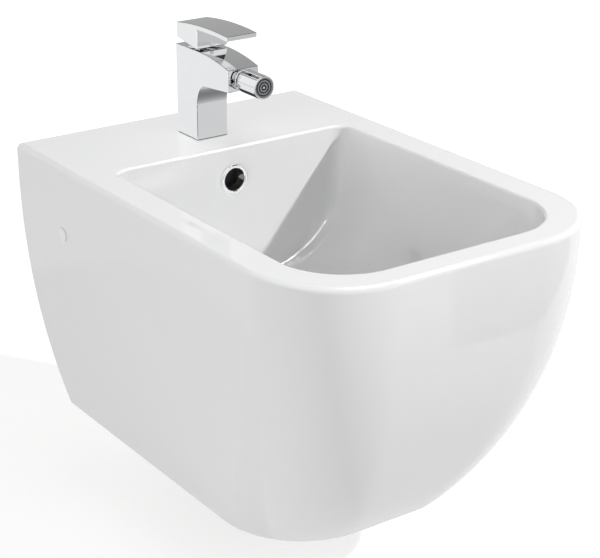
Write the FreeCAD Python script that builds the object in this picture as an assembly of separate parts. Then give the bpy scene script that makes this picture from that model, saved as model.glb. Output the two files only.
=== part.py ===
import FreeCAD
import Part
import math
import os

# Wall-hung bidet with a single-lever mixer, a swivel nozzle, a click waste and a trap.
# Origin: on the wall plane, midway between the two wall rods. +Z is up.
# The bidet faces -Y and +Y points into the wall. All lengths are in millimetres.

# Ceramic shell
BODY_WIDTH = 360.0
BODY_PROJECTION = 529.0
BODY_HEIGHT = 320.0
RIM_HEIGHT = 73.0               # rim plane above the wall rods
CHINA = 9.0                     # wall thickness of the china
LEDGE_THICKNESS = 14.0
BACK_THICKNESS = 12.0
SIDE_CURVE_START = 24.0         # depth below the rim where a side begins to curve in
SIDE_CURVE_RADIUS = 928.0
FRONT_CURVE_START = 10.0
FRONT_CURVE_RADIUS = 460.0
FRONT_CORNER_RADIUS = 96.0
RIM_ROUND = 6.0
FOOT_ROUND = 9.0
SHELL_SECTIONS = 9

# Basin
LEDGE_DEPTH = 138.0             # wall to the rear face of the basin
SIDE_RIM = 37.0
FRONT_RIM = 29.0
BASIN_DEPTH = 150.0
BASIN_SIDE_DRAFT = 0.08         # inward run of a side per unit of depth
BASIN_SIDE_RADIUS = 88.0        # between a side and the floor
BASIN_REAR_RADIUS = 14.0
BASIN_FRONT_RADIUS = 140.0
BASIN_REAR_CORNER = 17.0
BASIN_FRONT_CORNER = 66.0
BASIN_EDGE_ROUND = 3.0          # along the rim of the basin
BASIN_ROUND_STEPS = 8

# Openings in the back and underside of the shell
BACK_WINDOW_WIDTH = 110.0
BACK_WINDOW_TOP = 25.0          # depth of its upper edge below the wall rods
BACK_WINDOW_MARGIN = 7.0        # its lower edge below the outlet pipe
ACCESS_WIDTH = 190.0
ACCESS_REAR = 45.0              # wall to the access opening in the underside
ACCESS_LENGTH = 260.0
ACCESS_CORNER = 30.0

# Wall fixing
ROD_DISTANCE = 180.0            # between the two wall rods
ROD_BORE = 13.0                 # clears an M12 rod
BLOCK_DIAMETER = 28.0
BLOCK_LENGTH = 105.0
BOSS_WALL = 10.0
SIDE_HOLE_DISTANCE = 93.0       # wall to the side hole
SIDE_HOLE_DIAMETER = 12.0
SIDE_CAP_DIAMETER = 15.0
SIDE_CAP_HEAD = 1.4
SIDE_CAP_ROUND = 0.8
SIDE_CAP_SPIGOT = 7.0
CLAMP_DIAMETER = 8.0
CLAMP_KEY = 4.0                 # across the flats of its socket
KEY_HOLE_DIAMETER = 10.0

# Overflow
OVERFLOW_DEPTH = 35.0
OVERFLOW_HOLE = 28.0
OVERFLOW_RING = 33.0
OVERFLOW_RING_HEIGHT = 4.5
OVERFLOW_RING_ROUND = 2.0
OVERFLOW_RING_MOUTH = 24.0
DUCT_WIDTH = 30.0
DUCT_DEPTH = 12.0
DUCT_WALL = 7.0

# Mixer column and spout, heights from the ledge
TAP_DISTANCE = 79.5             # wall to the tap hole
TAP_HOLE = 35.0
TAP_WIDTH = 37.5
TAP_DEPTH = 40.0
TAP_HEIGHT = 97.0
SPOUT_REACH = 61.0              # column face to spout face
SPOUT_DROP = 8.0                # fall of the curved top towards the spout face
SPOUT_FACE = 23.0
SPOUT_TAPER = 4.0               # how much deeper the spout is where it leaves the column
ARCH_RUN = 15.0                 # arch under the spout, along it and down the column
ARCH_RISE = 28.0
TAP_EDGE = 1.0
GASKET_THICKNESS = 1.0
GASKET_MARGIN = 0.6
INLET_BORE = 9.0                # M10x1 hose thread, core size
INLET_LENGTH = 14.0
INLET_SPREAD = 12.0             # between the two inlet axes
INLET_OFFSET = 4.5              # in front of the column axis
WATERWAY = 5.2
OUTLET_OFFSET = 6.2             # cartridge outlet behind the column axis
SPOUT_WATERWAY = 8.0
TAP_STUD_DIAMETER = 8.0
TAP_STUD_OFFSET = 9.5           # behind the column axis
TAP_STUD_DEPTH = 24.0           # length inside the column
TAP_STUD_TAIL = 34.0            # length below the ledge
HORSESHOE_DIAMETER = 42.0
HORSESHOE_SLOT = 24.0
HORSESHOE_GASKET = 3.0
HORSESHOE_WASHER = 2.0
TAP_NUT_FLATS = 13.0
TAP_NUT_HEIGHT = 8.0

# Cartridge, heights from the ledge
CHAMBER_DIAMETER = 28.0
CHAMBER_FLOOR = 54.0
BASE_DIAMETER = 26.8
BASE_HEIGHT = 6.0
BASE_OUTLET = 4.2
SEAL_DIAMETER = 8.6
SEAL_THICKNESS = 1.4
HOUSING_DIAMETER = 24.8
HOUSING_WALL = 2.1
HOUSING_HEIGHT = 28.0
HOUSING_LIP = 1.7
DISC_THICKNESS = 3.0
DISC_PORT = 4.6
MOVING_DISC_DIAMETER = 14.0
MOVING_DISC_POCKET = 9.8
MOVING_DISC_POCKET_DEPTH = 1.5
CARRIER_HEIGHT = 5.0
CARRIER_KEY_WIDTH = 4.6
CARRIER_KEY_HEIGHT = 2.0
PIVOT_HEIGHT = 80.0
LOWER_ARM = 8.5                 # pivot to the ball end of the stem
STEM_SIDE = 6.0
STEM_BALL = 5.2
STEM_NECK = 4.2
STEM_LENGTH = 32.0              # pivot to the upper end
PIN_DIAMETER = 3.0
ROTOR_NECK_DIAMETER = 16.4
ROTOR_NECK_HEIGHT = 3.0         # above the housing
NUT_HEIGHT = 5.5
NUT_BORE = 19.2
NUT_NOTCH = 3.0
NUT_NOTCH_DEPTH = 2.5
COVER_BORE = 20.8
COVER_DIAMETER = 29.0
COVER_HEIGHT = 0.7              # rise of the cover above the column
LIFT_ANGLE = 18.0               # full lift of the lever, in degrees

# Lever, heights from the ledge
LEVER_LENGTH = 96.0
LEVER_HUB = 40.0
LEVER_OVERHANG = 17.5           # behind the column axis
LEVER_FRONT_GAP = 1.6           # hub above the column at its front edge
LEVER_REAR_GAP = 7.3            # hub above the column at its rear edge
LEVER_REAR_TOP = 120.4
LEVER_CROWN = 124.7
LEVER_TIP_TOP = 123.3
LEVER_BLADE = 5.0
LEVER_BLADE_ROOT = 5.5          # blade thickness at the hub
LEVER_WALL = 4.0
LEVER_SCREW_DIAMETER = 5.0
LEVER_SCREW_LENGTH = 12.0
LEVER_SCREW_RISE = 3.2          # screw axis above the lower front edge of the hub
LEVER_CAP_DEPTH = 2.2
LEVER_CAP_PROUD = 0.6
LEVER_CAP_ROUND = 0.4

# Swivel nozzle, along its own axis from the ball centre
NOZZLE_BALL = 13.6
NOZZLE_INSET = 2.0              # ball centre behind the spout face
NOZZLE_SOCKET = 17.6
NOZZLE_COLLAR_REAR = 2.0
NOZZLE_COLLAR_FLANGE = 19.6
NOZZLE_COLLAR_MOUTH = 12.0
NOZZLE_FLANGE_THICKNESS = 1.2
NOZZLE_SEAT_LENGTH = 4.5
NOZZLE_WASHER = 1.5
NOZZLE_NECK = 7.2
NOZZLE_WATERWAY = 4.4
NOZZLE_SEAT_BORE = 7.0
NOZZLE_BARREL = 24.4
NOZZLE_BARREL_START = 8.5
NOZZLE_BARREL_LENGTH = 31.5
NOZZLE_BARREL_WALL = 1.5
NOZZLE_BARREL_ROUND = 0.8
NOZZLE_GROOVE_START = 3.0
NOZZLE_GROOVE_WIDTH = 0.8
NOZZLE_GROOVE_DEPTH = 0.5
NOZZLE_SPIGOT = 12.0
NOZZLE_SPIGOT_LENGTH = 5.0
AERATOR_LENGTH = 11.0
AERATOR_RECESS = 0.8
AERATOR_GROOVES = 3
AERATOR_GROOVE_DEPTH = 1.6
AERATOR_HOLES = 6               # in the inner ring, and that many more in each further one
AERATOR_HOLE = 1.1
AERATOR_GASKET = 1.5
AERATOR_GASKET_BORE = 15.0

# Waste, depths below the basin floor
DRAIN_DISTANCE = 245.0          # wall to the waste axis
DISH_DEPTH = 2.0
DRAIN_HOLE = 46.0
COLLAR_DIAMETER = 76.0
COLLAR_LENGTH = 45.0
OVERFLOW_CHAMBER = 56.0
CHAMBER_MARGIN = 10.0           # china left above and below the overflow chamber
FLANGE_DIAMETER = 64.0
FLANGE_THICKNESS = 3.0
FLANGE_ROUND = 1.8
FLANGE_SEAL = 1.5
FLANGE_SEAL_DIAMETER = 60.0
FLANGE_SEAL_BORE = 48.0
FLANGE_SEAT_MARGIN = 1.0        # flat china around the flange
TAIL_DIAMETER = 41.9            # G 1 1/4 thread
TAIL_WALL = 3.4
TAIL_LENGTH = 75.0
TAIL_SLOT_WIDTH = 8.0
TAIL_SLOT_HEIGHT = 18.0
TAIL_SLOTS = 4
LOWER_SEAL = 6.0
LOWER_SEAL_DIAMETER = 68.0
LOWER_WASHER = 2.0
BACKNUT_HEIGHT = 10.0
BACKNUT_FLATS = 55.0
PLUG_DIAMETER = 58.0
PLUG_EDGE = 2.5
PLUG_CROWN = 3.0
PLUG_LIFT = 8.0                 # travel from closed to open
PLUG_STEM = 8.0
PLUG_SEAL_WIDTH = 1.8
PLUG_SEAT_DIAMETER = 40.0
PLUG_SEAT_STEP = 0.4            # seat above the underside of the flange
CAPSULE_DIAMETER = 13.0
PLUNGER_GRIP = 18.0             # plunger inside the capsule when the plug stands open
CAPSULE_START = 12.0            # below the flange
CAPSULE_FOOT = 2.0
GUIDE_HUB = 18.0
GUIDE_HEIGHT = 8.0
GUIDE_START = 26.0
GUIDE_ARMS = 3
GUIDE_ARM = 3.0
GUIDE_RIM = 1.5
SPRING_WIRE = 0.9
SPRING_DIAMETER = 7.4
SPRING_TURNS = 5
SPRING_LENGTH = 14.0

# Trap, depths below the end of the waste tail
INLET_NUT_DIAMETER = 54.0
INLET_NUT_GRIP = 10.5           # length on the waste tail
INLET_NUT_LIP = 3.0
INLET_WASHER = 1.5
DIP_DIAMETER = 32.0
DIP_WALL = 1.5
DIP_FLANGE = 2.5
DIP_LENGTH = 61.0
BOTTLE_DIAMETER = 66.0
BOTTLE_WALL = 2.5
BOTTLE_TOP = 11.0               # below the tail end
BOTTLE_HEIGHT = 52.0
CUP_WALL = 2.7
CUP_GRIP = 10.0
CUP_HEIGHT = 30.0
CUP_SEAL = 2.0
BRANCH_DROP = 31.5              # outlet axis below the tail end
BRANCH_DIAMETER = 38.0
BRANCH_WALL = 2.4
BRANCH_LENGTH = 55.0            # from the bottle axis
OUTLET_NUT_DIAMETER = 52.0
OUTLET_NUT_GRIP = 6.0
OUTLET_NUT_LENGTH = 14.0
OUTLET_NUT_LIP = 3.0
OUTLET_WASHER = 3.0
PIPE_DIAMETER = 32.0
PIPE_WALL = 1.5
PIPE_INSERTION = 12.0           # inside the trap branch
PIPE_BEYOND_WALL = 45.0
PIPE_BEAD = 3.0                 # stop ring at the wall
PIPE_BEAD_HEIGHT = 1.5

# Clearances
THREAD_FIT = 0.05               # radial, screwed or pressed pieces
RUNNING_FIT = 0.08              # radial, pivot pin
FREE_FIT = 0.3                  # between pieces that move on each other
SLIDE_FIT = 0.05                # between the two ceramic discs
OVERCUT = 1.0                   # run of a cut past the face that it opens

# Places that follow from the sizes above
TAP_Y = -TAP_DISTANCE
COLUMN_REAR = TAP_Y + TAP_DEPTH / 2
COLUMN_FACE = TAP_Y - TAP_DEPTH / 2
SPOUT_Y = COLUMN_FACE - SPOUT_REACH
SPOUT_TOP = RIM_HEIGHT + TAP_HEIGHT - SPOUT_DROP
SPOUT_AXIS = SPOUT_TOP - SPOUT_FACE / 2
BALL_Y = SPOUT_Y + NOZZLE_INSET
NOZZLE_SEAT_REAR = NOZZLE_COLLAR_REAR + FREE_FIT + NOZZLE_SEAT_LENGTH
NOZZLE_SOCKET_DEPTH = NOZZLE_INSET + NOZZLE_SEAT_REAR + FREE_FIT + NOZZLE_WASHER
LEDGE_UNDERSIDE = RIM_HEIGHT - LEDGE_THICKNESS
FLOOR_Z = RIM_HEIGHT - BASIN_DEPTH
SEAT_Z = FLOOR_Z - DISH_DEPTH
FLOOR_HALF_WIDTH = BODY_WIDTH / 2 - SIDE_RIM - BASIN_DEPTH * BASIN_SIDE_DRAFT - BASIN_SIDE_RADIUS
FLANGE_Z = SEAT_Z + FLANGE_SEAL
FLANGE_TOP = FLANGE_Z + FLANGE_THICKNESS
COLLAR_FOOT = FLOOR_Z - COLLAR_LENGTH
TAIL_FOOT = FLANGE_Z - TAIL_LENGTH
DRAIN_Y = -DRAIN_DISTANCE
UNDERSIDE = RIM_HEIGHT - BODY_HEIGHT
BASE_Z = RIM_HEIGHT + CHAMBER_FLOOR
DISC_Z = BASE_Z + BASE_HEIGHT
MOVING_DISC_Z = DISC_Z + DISC_THICKNESS + SLIDE_FIT
CARRIER_Z = MOVING_DISC_Z + DISC_THICKNESS
KEY_Z = CARRIER_Z + CARRIER_HEIGHT
HOUSING_TOP = DISC_Z + HOUSING_HEIGHT
HOUSING_BORE = HOUSING_DIAMETER / 2 - HOUSING_WALL
PIVOT_Z = RIM_HEIGHT + PIVOT_HEIGHT
COLUMN_TOP = RIM_HEIGHT + TAP_HEIGHT
HUB_FACE = TAP_Y + LEVER_OVERHANG - LEVER_HUB
TRAP_BRANCH_Z = TAIL_FOOT - BRANCH_DROP
BRANCH_END = DRAIN_Y + BRANCH_LENGTH
PIPE_START = BRANCH_END - PIPE_INSERTION
ROD_SIDES = (-1, 1)


def vec(x, y, z):
    return FreeCAD.Vector(x, y, z)


def block(x0, x1, y0, y1, z0, z1):
    """Box between two values on each axis."""
    return Part.makeBox(x1 - x0, y1 - y0, z1 - z0, vec(x0, y0, z0))


def disc(diameter, z0, z1, x=0.0, y=0.0):
    """Upright cylinder between two heights."""
    return Part.makeCylinder(diameter / 2, z1 - z0, vec(x, y, z0))


def ring(outer, inner, z0, z1, x=0.0, y=0.0):
    """Upright tube between two heights."""
    return disc(outer, z0, z1, x, y).cut(disc(inner, z0, z1, x, y))


def rod_y(diameter, y0, y1, x=0.0, z=0.0):
    """Cylinder along Y between two places."""
    return Part.makeCylinder(diameter / 2, y1 - y0, vec(x, y0, z), vec(0, 1, 0))


def ring_y(outer, inner, y0, y1, x=0.0, z=0.0):
    """Tube along Y between two places."""
    return rod_y(outer, y0, y1, x, z).cut(rod_y(inner, y0, y1, x, z))


def rod_x(diameter, x0, x1, y=0.0, z=0.0):
    """Cylinder along X between two places."""
    return Part.makeCylinder(diameter / 2, x1 - x0, vec(x0, y, z), vec(1, 0, 0))


def nozzle_rod(diameter, start, end):
    """Cylinder on the nozzle axis, between two distances in front of the ball centre."""
    return rod_y(diameter, BALL_Y - end, BALL_Y - start, 0.0, SPOUT_AXIS)


def nozzle_ring(outer, inner, start, end):
    """Tube on the nozzle axis, between two distances in front of the ball centre."""
    return nozzle_rod(outer, start, end).cut(nozzle_rod(inner, start, end))


def hexagon(flats, z0, z1, x=0.0, y=0.0):
    """Upright hexagonal prism."""
    reach = flats / math.sqrt(3)
    turns = [math.radians(60 * k) for k in range(7)]
    points = [vec(x + reach * math.cos(a), y + reach * math.sin(a), z0) for a in turns]
    return Part.Face(Part.makePolygon(points)).extrude(vec(0, 0, z1 - z0))


def line(start, end):
    return Part.LineSegment(start, end).toShape()


def arc(start, middle, end):
    return Part.Arc(start, middle, end).toShape()


def profile_prism(edges, width):
    """Extrudes a closed YZ outline drawn at x = -width / 2 across the width."""
    return Part.Face(Part.Wire(edges)).extrude(vec(width, 0, 0))


def plan_wire(half_width, rear, front, rear_corner, front_corner, z):
    """Closed plan outline: straight sides with round corners, square at the rear if rear_corner is 0."""
    corners = [(1, rear - rear_corner, rear_corner), (-1, rear - rear_corner, rear_corner),
               (-1, front + front_corner, front_corner), (1, front + front_corner, front_corner)]
    spans = []
    for quarter, (side, y, radius) in enumerate(corners):
        x = side * (half_width - radius)
        turns = [math.radians(90 * quarter + step) for step in (0, 45, 90)]
        spans.append([vec(x + radius * math.cos(a), y + radius * math.sin(a), z) for a in turns])
    edges = []
    for k, span in enumerate(spans):
        if corners[k][2] > 0:
            edges.append(arc(*span))
        edges.append(line(span[2], spans[(k + 1) % len(spans)][0]))
    return Part.Wire(edges)


def setback(depth, start, radius):
    """How far a face has curved inward at a depth, along an arc that leaves the vertical at start."""
    below = max(depth - start, 0.0)
    return radius - math.sqrt(radius ** 2 - below ** 2)


def shell_wire(depth, inset, rear):
    """Plan outline of the shell at a depth below the rim, moved inward by inset."""
    half_width = BODY_WIDTH / 2 - setback(depth, SIDE_CURVE_START, SIDE_CURVE_RADIUS) - inset
    front = setback(depth, FRONT_CURVE_START, FRONT_CURVE_RADIUS) + inset - BODY_PROJECTION
    return plan_wire(half_width, rear, front, 0.0, FRONT_CORNER_RADIUS - inset, RIM_HEIGHT - depth)


def shell_loft(top, foot, inset, rear):
    """Solid inside the shell outline between two depths."""
    step = (foot - top) / (SHELL_SECTIONS - 1)
    wires = [shell_wire(top + k * step, inset, rear) for k in range(SHELL_SECTIONS)]
    return Part.makeLoft(wires, True, False)


def floor_curve(depth, floor, radius):
    """Inward run of a basin wall at a depth, along the round between the wall and the floor."""
    below = max(depth - (floor - radius), 0.0)
    return radius - math.sqrt(max(radius ** 2 - below ** 2, 0.0))


def basin_wire(depth, grow):
    """Plan outline of the basin at a depth below the rim, moved outward by grow."""
    floor = BASIN_DEPTH + grow
    brim = BODY_WIDTH / 2 - SIDE_RIM + grow
    half_width = brim - depth * BASIN_SIDE_DRAFT - floor_curve(depth, floor, BASIN_SIDE_RADIUS + grow)
    rear = grow - LEDGE_DEPTH - floor_curve(depth, floor, BASIN_REAR_RADIUS + grow)
    front = FRONT_RIM - BODY_PROJECTION - grow + floor_curve(depth, floor, BASIN_FRONT_RADIUS + grow)
    rear_corner = BASIN_REAR_CORNER + grow
    front_corner = BASIN_FRONT_CORNER * half_width / brim
    return plan_wire(half_width, rear, front, rear_corner, front_corner, RIM_HEIGHT - depth)


def basin_loft(grow):
    """Solid that fills the basin, grown outward by grow for the outside of its wall."""
    floor = BASIN_DEPTH + grow
    radius = BASIN_SIDE_RADIUS + grow
    bend = floor - radius
    steps = range(BASIN_ROUND_STEPS + 1)
    upper = [basin_wire(bend * k / BASIN_ROUND_STEPS, grow) for k in steps]
    turns = [math.radians(90 * k / BASIN_ROUND_STEPS) for k in steps]
    lower = [basin_wire(bend + radius * math.sin(a), grow) for a in turns]
    return Part.makeLoft(upper, True, False).fuse(Part.makeLoft(lower, True, False))


def edges_at(shape, z, inside):
    """Edges that lie at one height and whose middle passes the test inside."""
    level = [e for e in shape.Edges if abs(e.BoundBox.ZMin - z) < 1e-4 and abs(e.BoundBox.ZMax - z) < 1e-4]
    return [e for e in level if inside(e.BoundBox.Center)]


def outer_block():
    """Solid inside the outside of the shell, rounded along the rim and the foot."""
    body = shell_loft(0.0, BODY_HEIGHT, 0.0, OVERCUT)
    off_wall = lambda c: c.y < -BACK_THICKNESS
    body = body.makeFillet(RIM_ROUND, edges_at(body, RIM_HEIGHT, off_wall))
    return body.makeFillet(FOOT_ROUND, edges_at(body, UNDERSIDE, off_wall))


def level_band(foot, top):
    """Block in front of the wall that holds everything between two heights."""
    return block(-BODY_WIDTH, BODY_WIDTH, -2 * BODY_PROJECTION, 0.0, foot, top)


def inner_block(rear):
    """Solid inside the walls of the shell, from the base to the ledge."""
    return shell_loft(LEDGE_THICKNESS, BODY_HEIGHT - CHINA, CHINA, rear)


def rod_bosses(diameter, length):
    """Two cylinders along Y on the wall rod axes."""
    return [rod_y(diameter, -length, 0.0, side * ROD_DISTANCE / 2) for side in ROD_SIDES]


def duct(margin):
    """Overflow duct behind and under the basin, widened by margin for its china wall."""
    half = DUCT_WIDTH / 2 + margin
    wall_face = CHINA - LEDGE_DEPTH
    floor_face = FLOOR_Z - CHINA
    top = RIM_HEIGHT - OVERFLOW_DEPTH + OVERFLOW_HOLE / 2 + margin
    foot = floor_face - DUCT_DEPTH - margin
    rear = wall_face + DUCT_DEPTH + margin
    drop = block(-half, half, wall_face - margin, rear, foot, top)
    run = block(-half, half, DRAIN_Y, rear, foot, floor_face + margin)
    return drop, run


def side_axis(side):
    """Centre of a side hole on the shell's face, and the face's outward direction there."""
    turn = math.asin((RIM_HEIGHT - SIDE_CURVE_START) / SIDE_CURVE_RADIUS)
    x = BODY_WIDTH / 2 - setback(RIM_HEIGHT, SIDE_CURVE_START, SIDE_CURVE_RADIUS)
    return vec(side * x, -SIDE_HOLE_DISTANCE, 0.0), vec(side * math.cos(turn), 0.0, -math.sin(turn))


def access_opening():
    """Opening in the underside through which the trap and the tap fixing are reached."""
    wire = plan_wire(ACCESS_WIDTH / 2, -ACCESS_REAR, -ACCESS_REAR - ACCESS_LENGTH,
                     ACCESS_CORNER, ACCESS_CORNER, UNDERSIDE - OVERCUT)
    return Part.Face(wire).extrude(vec(0, 0, CHINA + 2 * OVERCUT))


def waste_collar():
    """China collar under the basin floor that the waste is clamped to."""
    return disc(COLLAR_DIAMETER, COLLAR_FOOT, FLOOR_Z, 0.0, DRAIN_Y)


def china_rim():
    rim = outer_block().common(level_band(LEDGE_UNDERSIDE, RIM_HEIGHT + OVERCUT)).cut(basin_loft(0.0))
    half_width = BODY_WIDTH / 2 - SIDE_RIM / 2
    front = FRONT_RIM / 2 - BODY_PROJECTION
    in_basin = lambda c: abs(c.x) < half_width and front < c.y < -TAP_DISTANCE
    rim = rim.makeFillet(BASIN_EDGE_ROUND, edges_at(rim, RIM_HEIGHT, in_basin))
    return rim.cut(disc(TAP_HOLE, LEDGE_UNDERSIDE - OVERCUT, RIM_HEIGHT + OVERCUT, 0.0, TAP_Y))


def china_basin():
    bowl = basin_loft(CHINA).fuse(waste_collar()).common(level_band(UNDERSIDE, LEDGE_UNDERSIDE))
    seat = FLANGE_DIAMETER / 2 + FLANGE_SEAT_MARGIN
    dish = FLOOR_HALF_WIDTH - FLANGE_SEAT_MARGIN
    cuts = [basin_loft(0.0),
            rod_y(OVERFLOW_HOLE, -LEDGE_DEPTH - OVERCUT, CHINA - LEDGE_DEPTH + OVERCUT,
                  0.0, RIM_HEIGHT - OVERFLOW_DEPTH),
            disc(DRAIN_HOLE, COLLAR_FOOT - OVERCUT, FLOOR_Z + OVERCUT, 0.0, DRAIN_Y),
            disc(OVERFLOW_CHAMBER, COLLAR_FOOT + CHAMBER_MARGIN, SEAT_Z - CHAMBER_MARGIN, 0.0, DRAIN_Y),
            Part.makeCone(seat, dish, DISH_DEPTH, vec(0, DRAIN_Y, SEAT_Z))]
    return bowl.cut(cuts + list(duct(0.0)))


def china_duct():
    drop, run = duct(DUCT_WALL)
    return drop.fuse(run).cut([basin_loft(CHINA), waste_collar()] + list(duct(0.0)))


def china_skirt():
    skirt = outer_block().common(level_band(UNDERSIDE + CHINA, LEDGE_UNDERSIDE)).cut(inner_block(2 * OVERCUT))
    holes = []
    for side in ROD_SIDES:
        centre, outward = side_axis(side)
        start = centre + outward * OVERCUT
        holes.append(Part.makeCylinder(SIDE_HOLE_DIAMETER / 2, 2 * CHINA, start, -outward))
    return skirt.cut(holes)


def china_back():
    slab = block(-BODY_WIDTH, BODY_WIDTH, -BACK_THICKNESS, 0.0, UNDERSIDE, RIM_HEIGHT)
    plate = inner_block(OVERCUT).common(slab)
    boss_diameter = BLOCK_DIAMETER + 2 * FREE_FIT + 2 * BOSS_WALL
    window_foot = TRAP_BRANCH_Z - PIPE_DIAMETER / 2 - BACK_WINDOW_MARGIN
    cuts = [block(-BACK_WINDOW_WIDTH / 2, BACK_WINDOW_WIDTH / 2, -BACK_THICKNESS - OVERCUT, OVERCUT,
                  window_foot, -BACK_WINDOW_TOP)]
    cuts += rod_bosses(BLOCK_DIAMETER + 2 * FREE_FIT, BLOCK_LENGTH)
    for side in ROD_SIDES:
        inner, outer = sorted((side * ROD_DISTANCE / 2, side * (ROD_DISTANCE / 2 + boss_diameter)))
        cuts.append(rod_x(KEY_HOLE_DIAMETER, inner, outer, -SIDE_HOLE_DISTANCE))
    return plate.fuse(rod_bosses(boss_diameter, BLOCK_LENGTH)).cut(cuts)


def china_base():
    return outer_block().common(level_band(UNDERSIDE - OVERCUT, UNDERSIDE + CHINA)).cut(access_opening())


def overflow_ring():
    z = RIM_HEIGHT - OVERFLOW_DEPTH
    wall = -LEDGE_DEPTH
    nose = wall - OVERFLOW_RING_HEIGHT
    flange = rod_y(OVERFLOW_RING, nose, wall, 0.0, z).cut(rod_y(OVERFLOW_RING_MOUTH, nose, wall, 0.0, z))
    front = [e for e in flange.Edges if e.BoundBox.YMax < nose + 1e-4]
    flange = flange.makeFillet(OVERFLOW_RING_ROUND, front)
    spigot = rod_y(OVERFLOW_HOLE - 2 * THREAD_FIT, wall, wall + CHINA, 0.0, z)
    return flange.fuse(spigot.cut(rod_y(OVERFLOW_RING_MOUTH, wall, wall + CHINA, 0.0, z)))


def side_hole_caps():
    caps = []
    for side in ROD_SIDES:
        centre, outward = side_axis(side)
        head = Part.makeCylinder(SIDE_CAP_DIAMETER / 2, SIDE_CAP_HEAD, centre, outward)
        rim = [e for e in head.Edges if (e.BoundBox.Center - centre).dot(outward) > SIDE_CAP_HEAD / 2]
        head = head.makeFillet(SIDE_CAP_ROUND, rim)
        spigot = Part.makeCylinder(SIDE_HOLE_DIAMETER / 2 - THREAD_FIT, SIDE_CAP_SPIGOT, centre, -outward)
        caps.append(head.fuse(spigot))
    return Part.makeCompound(caps)


def fixing_blocks():
    blocks = []
    for side in ROD_SIDES:
        x = side * ROD_DISTANCE / 2
        sleeve = ring_y(BLOCK_DIAMETER, ROD_BORE, -BLOCK_LENGTH, 0.0, x)
        start, end = sorted((x, x + side * BLOCK_DIAMETER))
        blocks.append(sleeve.cut(rod_x(CLAMP_DIAMETER + 2 * THREAD_FIT, start, end, -SIDE_HOLE_DISTANCE)))
    return Part.makeCompound(blocks)


def clamp_screws():
    screws = []
    length = (BLOCK_DIAMETER - ROD_BORE) / 2 - 2 * FREE_FIT
    for side in ROD_SIDES:
        base = vec(side * (ROD_DISTANCE / 2 + ROD_BORE / 2 + FREE_FIT), -SIDE_HOLE_DISTANCE, 0.0)
        screw = Part.makeCylinder(CLAMP_DIAMETER / 2, length, base, vec(side, 0, 0))
        socket = hexagon(CLAMP_KEY, 0.0, length)
        socket.Placement = FreeCAD.Placement(base + vec(side * length / 2, 0, 0),
                                             FreeCAD.Rotation(vec(0, 0, 1), vec(side, 0, 0)))
        screws.append(screw.cut(socket))
    return Part.makeCompound(screws)


def falling_arc(start, end):
    """Arc in a YZ plane that leaves start level and comes down to end."""
    run = start.y - end.y
    drop = start.z - end.z
    radius = (run ** 2 + drop ** 2) / (2 * drop)
    fall = radius - math.sqrt(radius ** 2 - (run / 2) ** 2)
    return arc(start, vec(start.x, start.y - run / 2, start.z - fall), end)


def quarter_bend(start, leaving, rising, end):
    """Quarter of an oval that leaves start along one side of its box and reaches end along the other."""
    pull = 4 * (math.sqrt(2) - 1) / 3
    curve = Part.BezierCurve()
    curve.setPoles([start, start + leaving * pull, end + rising * pull, end])
    return curve.toShape()


def tap_body():
    left = -TAP_WIDTH / 2
    base = RIM_HEIGHT + GASKET_THICKNESS
    under = SPOUT_TOP - SPOUT_FACE
    rear_foot = vec(left, COLUMN_REAR, base)
    rear_top = vec(left, COLUMN_REAR, COLUMN_TOP)
    brow = vec(left, COLUMN_FACE, COLUMN_TOP)
    nose = vec(left, SPOUT_Y, SPOUT_TOP)
    chin = vec(left, SPOUT_Y, under)
    arch_top = vec(left, COLUMN_FACE - ARCH_RUN, under - SPOUT_TAPER)
    arch_foot = vec(left, COLUMN_FACE, arch_top.z - ARCH_RISE)
    inward = (arch_top - chin).normalize() * ARCH_RUN
    face_foot = vec(left, COLUMN_FACE, base)
    edges = [line(rear_foot, rear_top), line(rear_top, brow), falling_arc(brow, nose), line(nose, chin),
             line(chin, arch_top), quarter_bend(arch_top, inward, vec(0, 0, ARCH_RISE), arch_foot),
             line(arch_foot, face_foot),
             line(face_foot, rear_foot)]
    body = profile_prism(edges, TAP_WIDTH)
    body = body.makeFillet(TAP_EDGE, [e for e in body.Edges if e.BoundBox.ZMax > base + 1e-4])
    water_start = SPOUT_Y + NOZZLE_SOCKET_DEPTH - OVERCUT
    water_end = TAP_Y - CHAMBER_DIAMETER / 2 + 2 * OVERCUT
    stud_y = TAP_Y + TAP_STUD_OFFSET
    cuts = [disc(CHAMBER_DIAMETER, BASE_Z, COLUMN_TOP + OVERCUT, 0.0, TAP_Y),
            nozzle_rod(NOZZLE_SOCKET, NOZZLE_INSET - NOZZLE_SOCKET_DEPTH, NOZZLE_INSET + OVERCUT),
            rod_y(SPOUT_WATERWAY, water_start, water_end, 0.0, SPOUT_AXIS),
            disc(TAP_STUD_DIAMETER + 2 * THREAD_FIT, base - OVERCUT, base + TAP_STUD_DEPTH, 0.0, stud_y)]
    for side in ROD_SIDES:
        x = side * INLET_SPREAD / 2
        cuts.append(disc(INLET_BORE, base - OVERCUT, base + INLET_LENGTH, x, TAP_Y - INLET_OFFSET))
        cuts.append(disc(WATERWAY, base, BASE_Z + OVERCUT, x, TAP_Y - INLET_OFFSET))
    return body.cut(cuts)


def tap_base_gasket():
    half = TAP_WIDTH / 2 - GASKET_MARGIN
    pad = block(-half, half, COLUMN_FACE + GASKET_MARGIN, COLUMN_REAR - GASKET_MARGIN,
                RIM_HEIGHT, RIM_HEIGHT + GASKET_THICKNESS)
    return pad.cut(disc(TAP_HOLE, RIM_HEIGHT, RIM_HEIGHT + GASKET_THICKNESS, 0.0, TAP_Y))


def tap_stud():
    top = RIM_HEIGHT + GASKET_THICKNESS + TAP_STUD_DEPTH
    return disc(TAP_STUD_DIAMETER, LEDGE_UNDERSIDE - TAP_STUD_TAIL, top, 0.0, TAP_Y + TAP_STUD_OFFSET)


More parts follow.
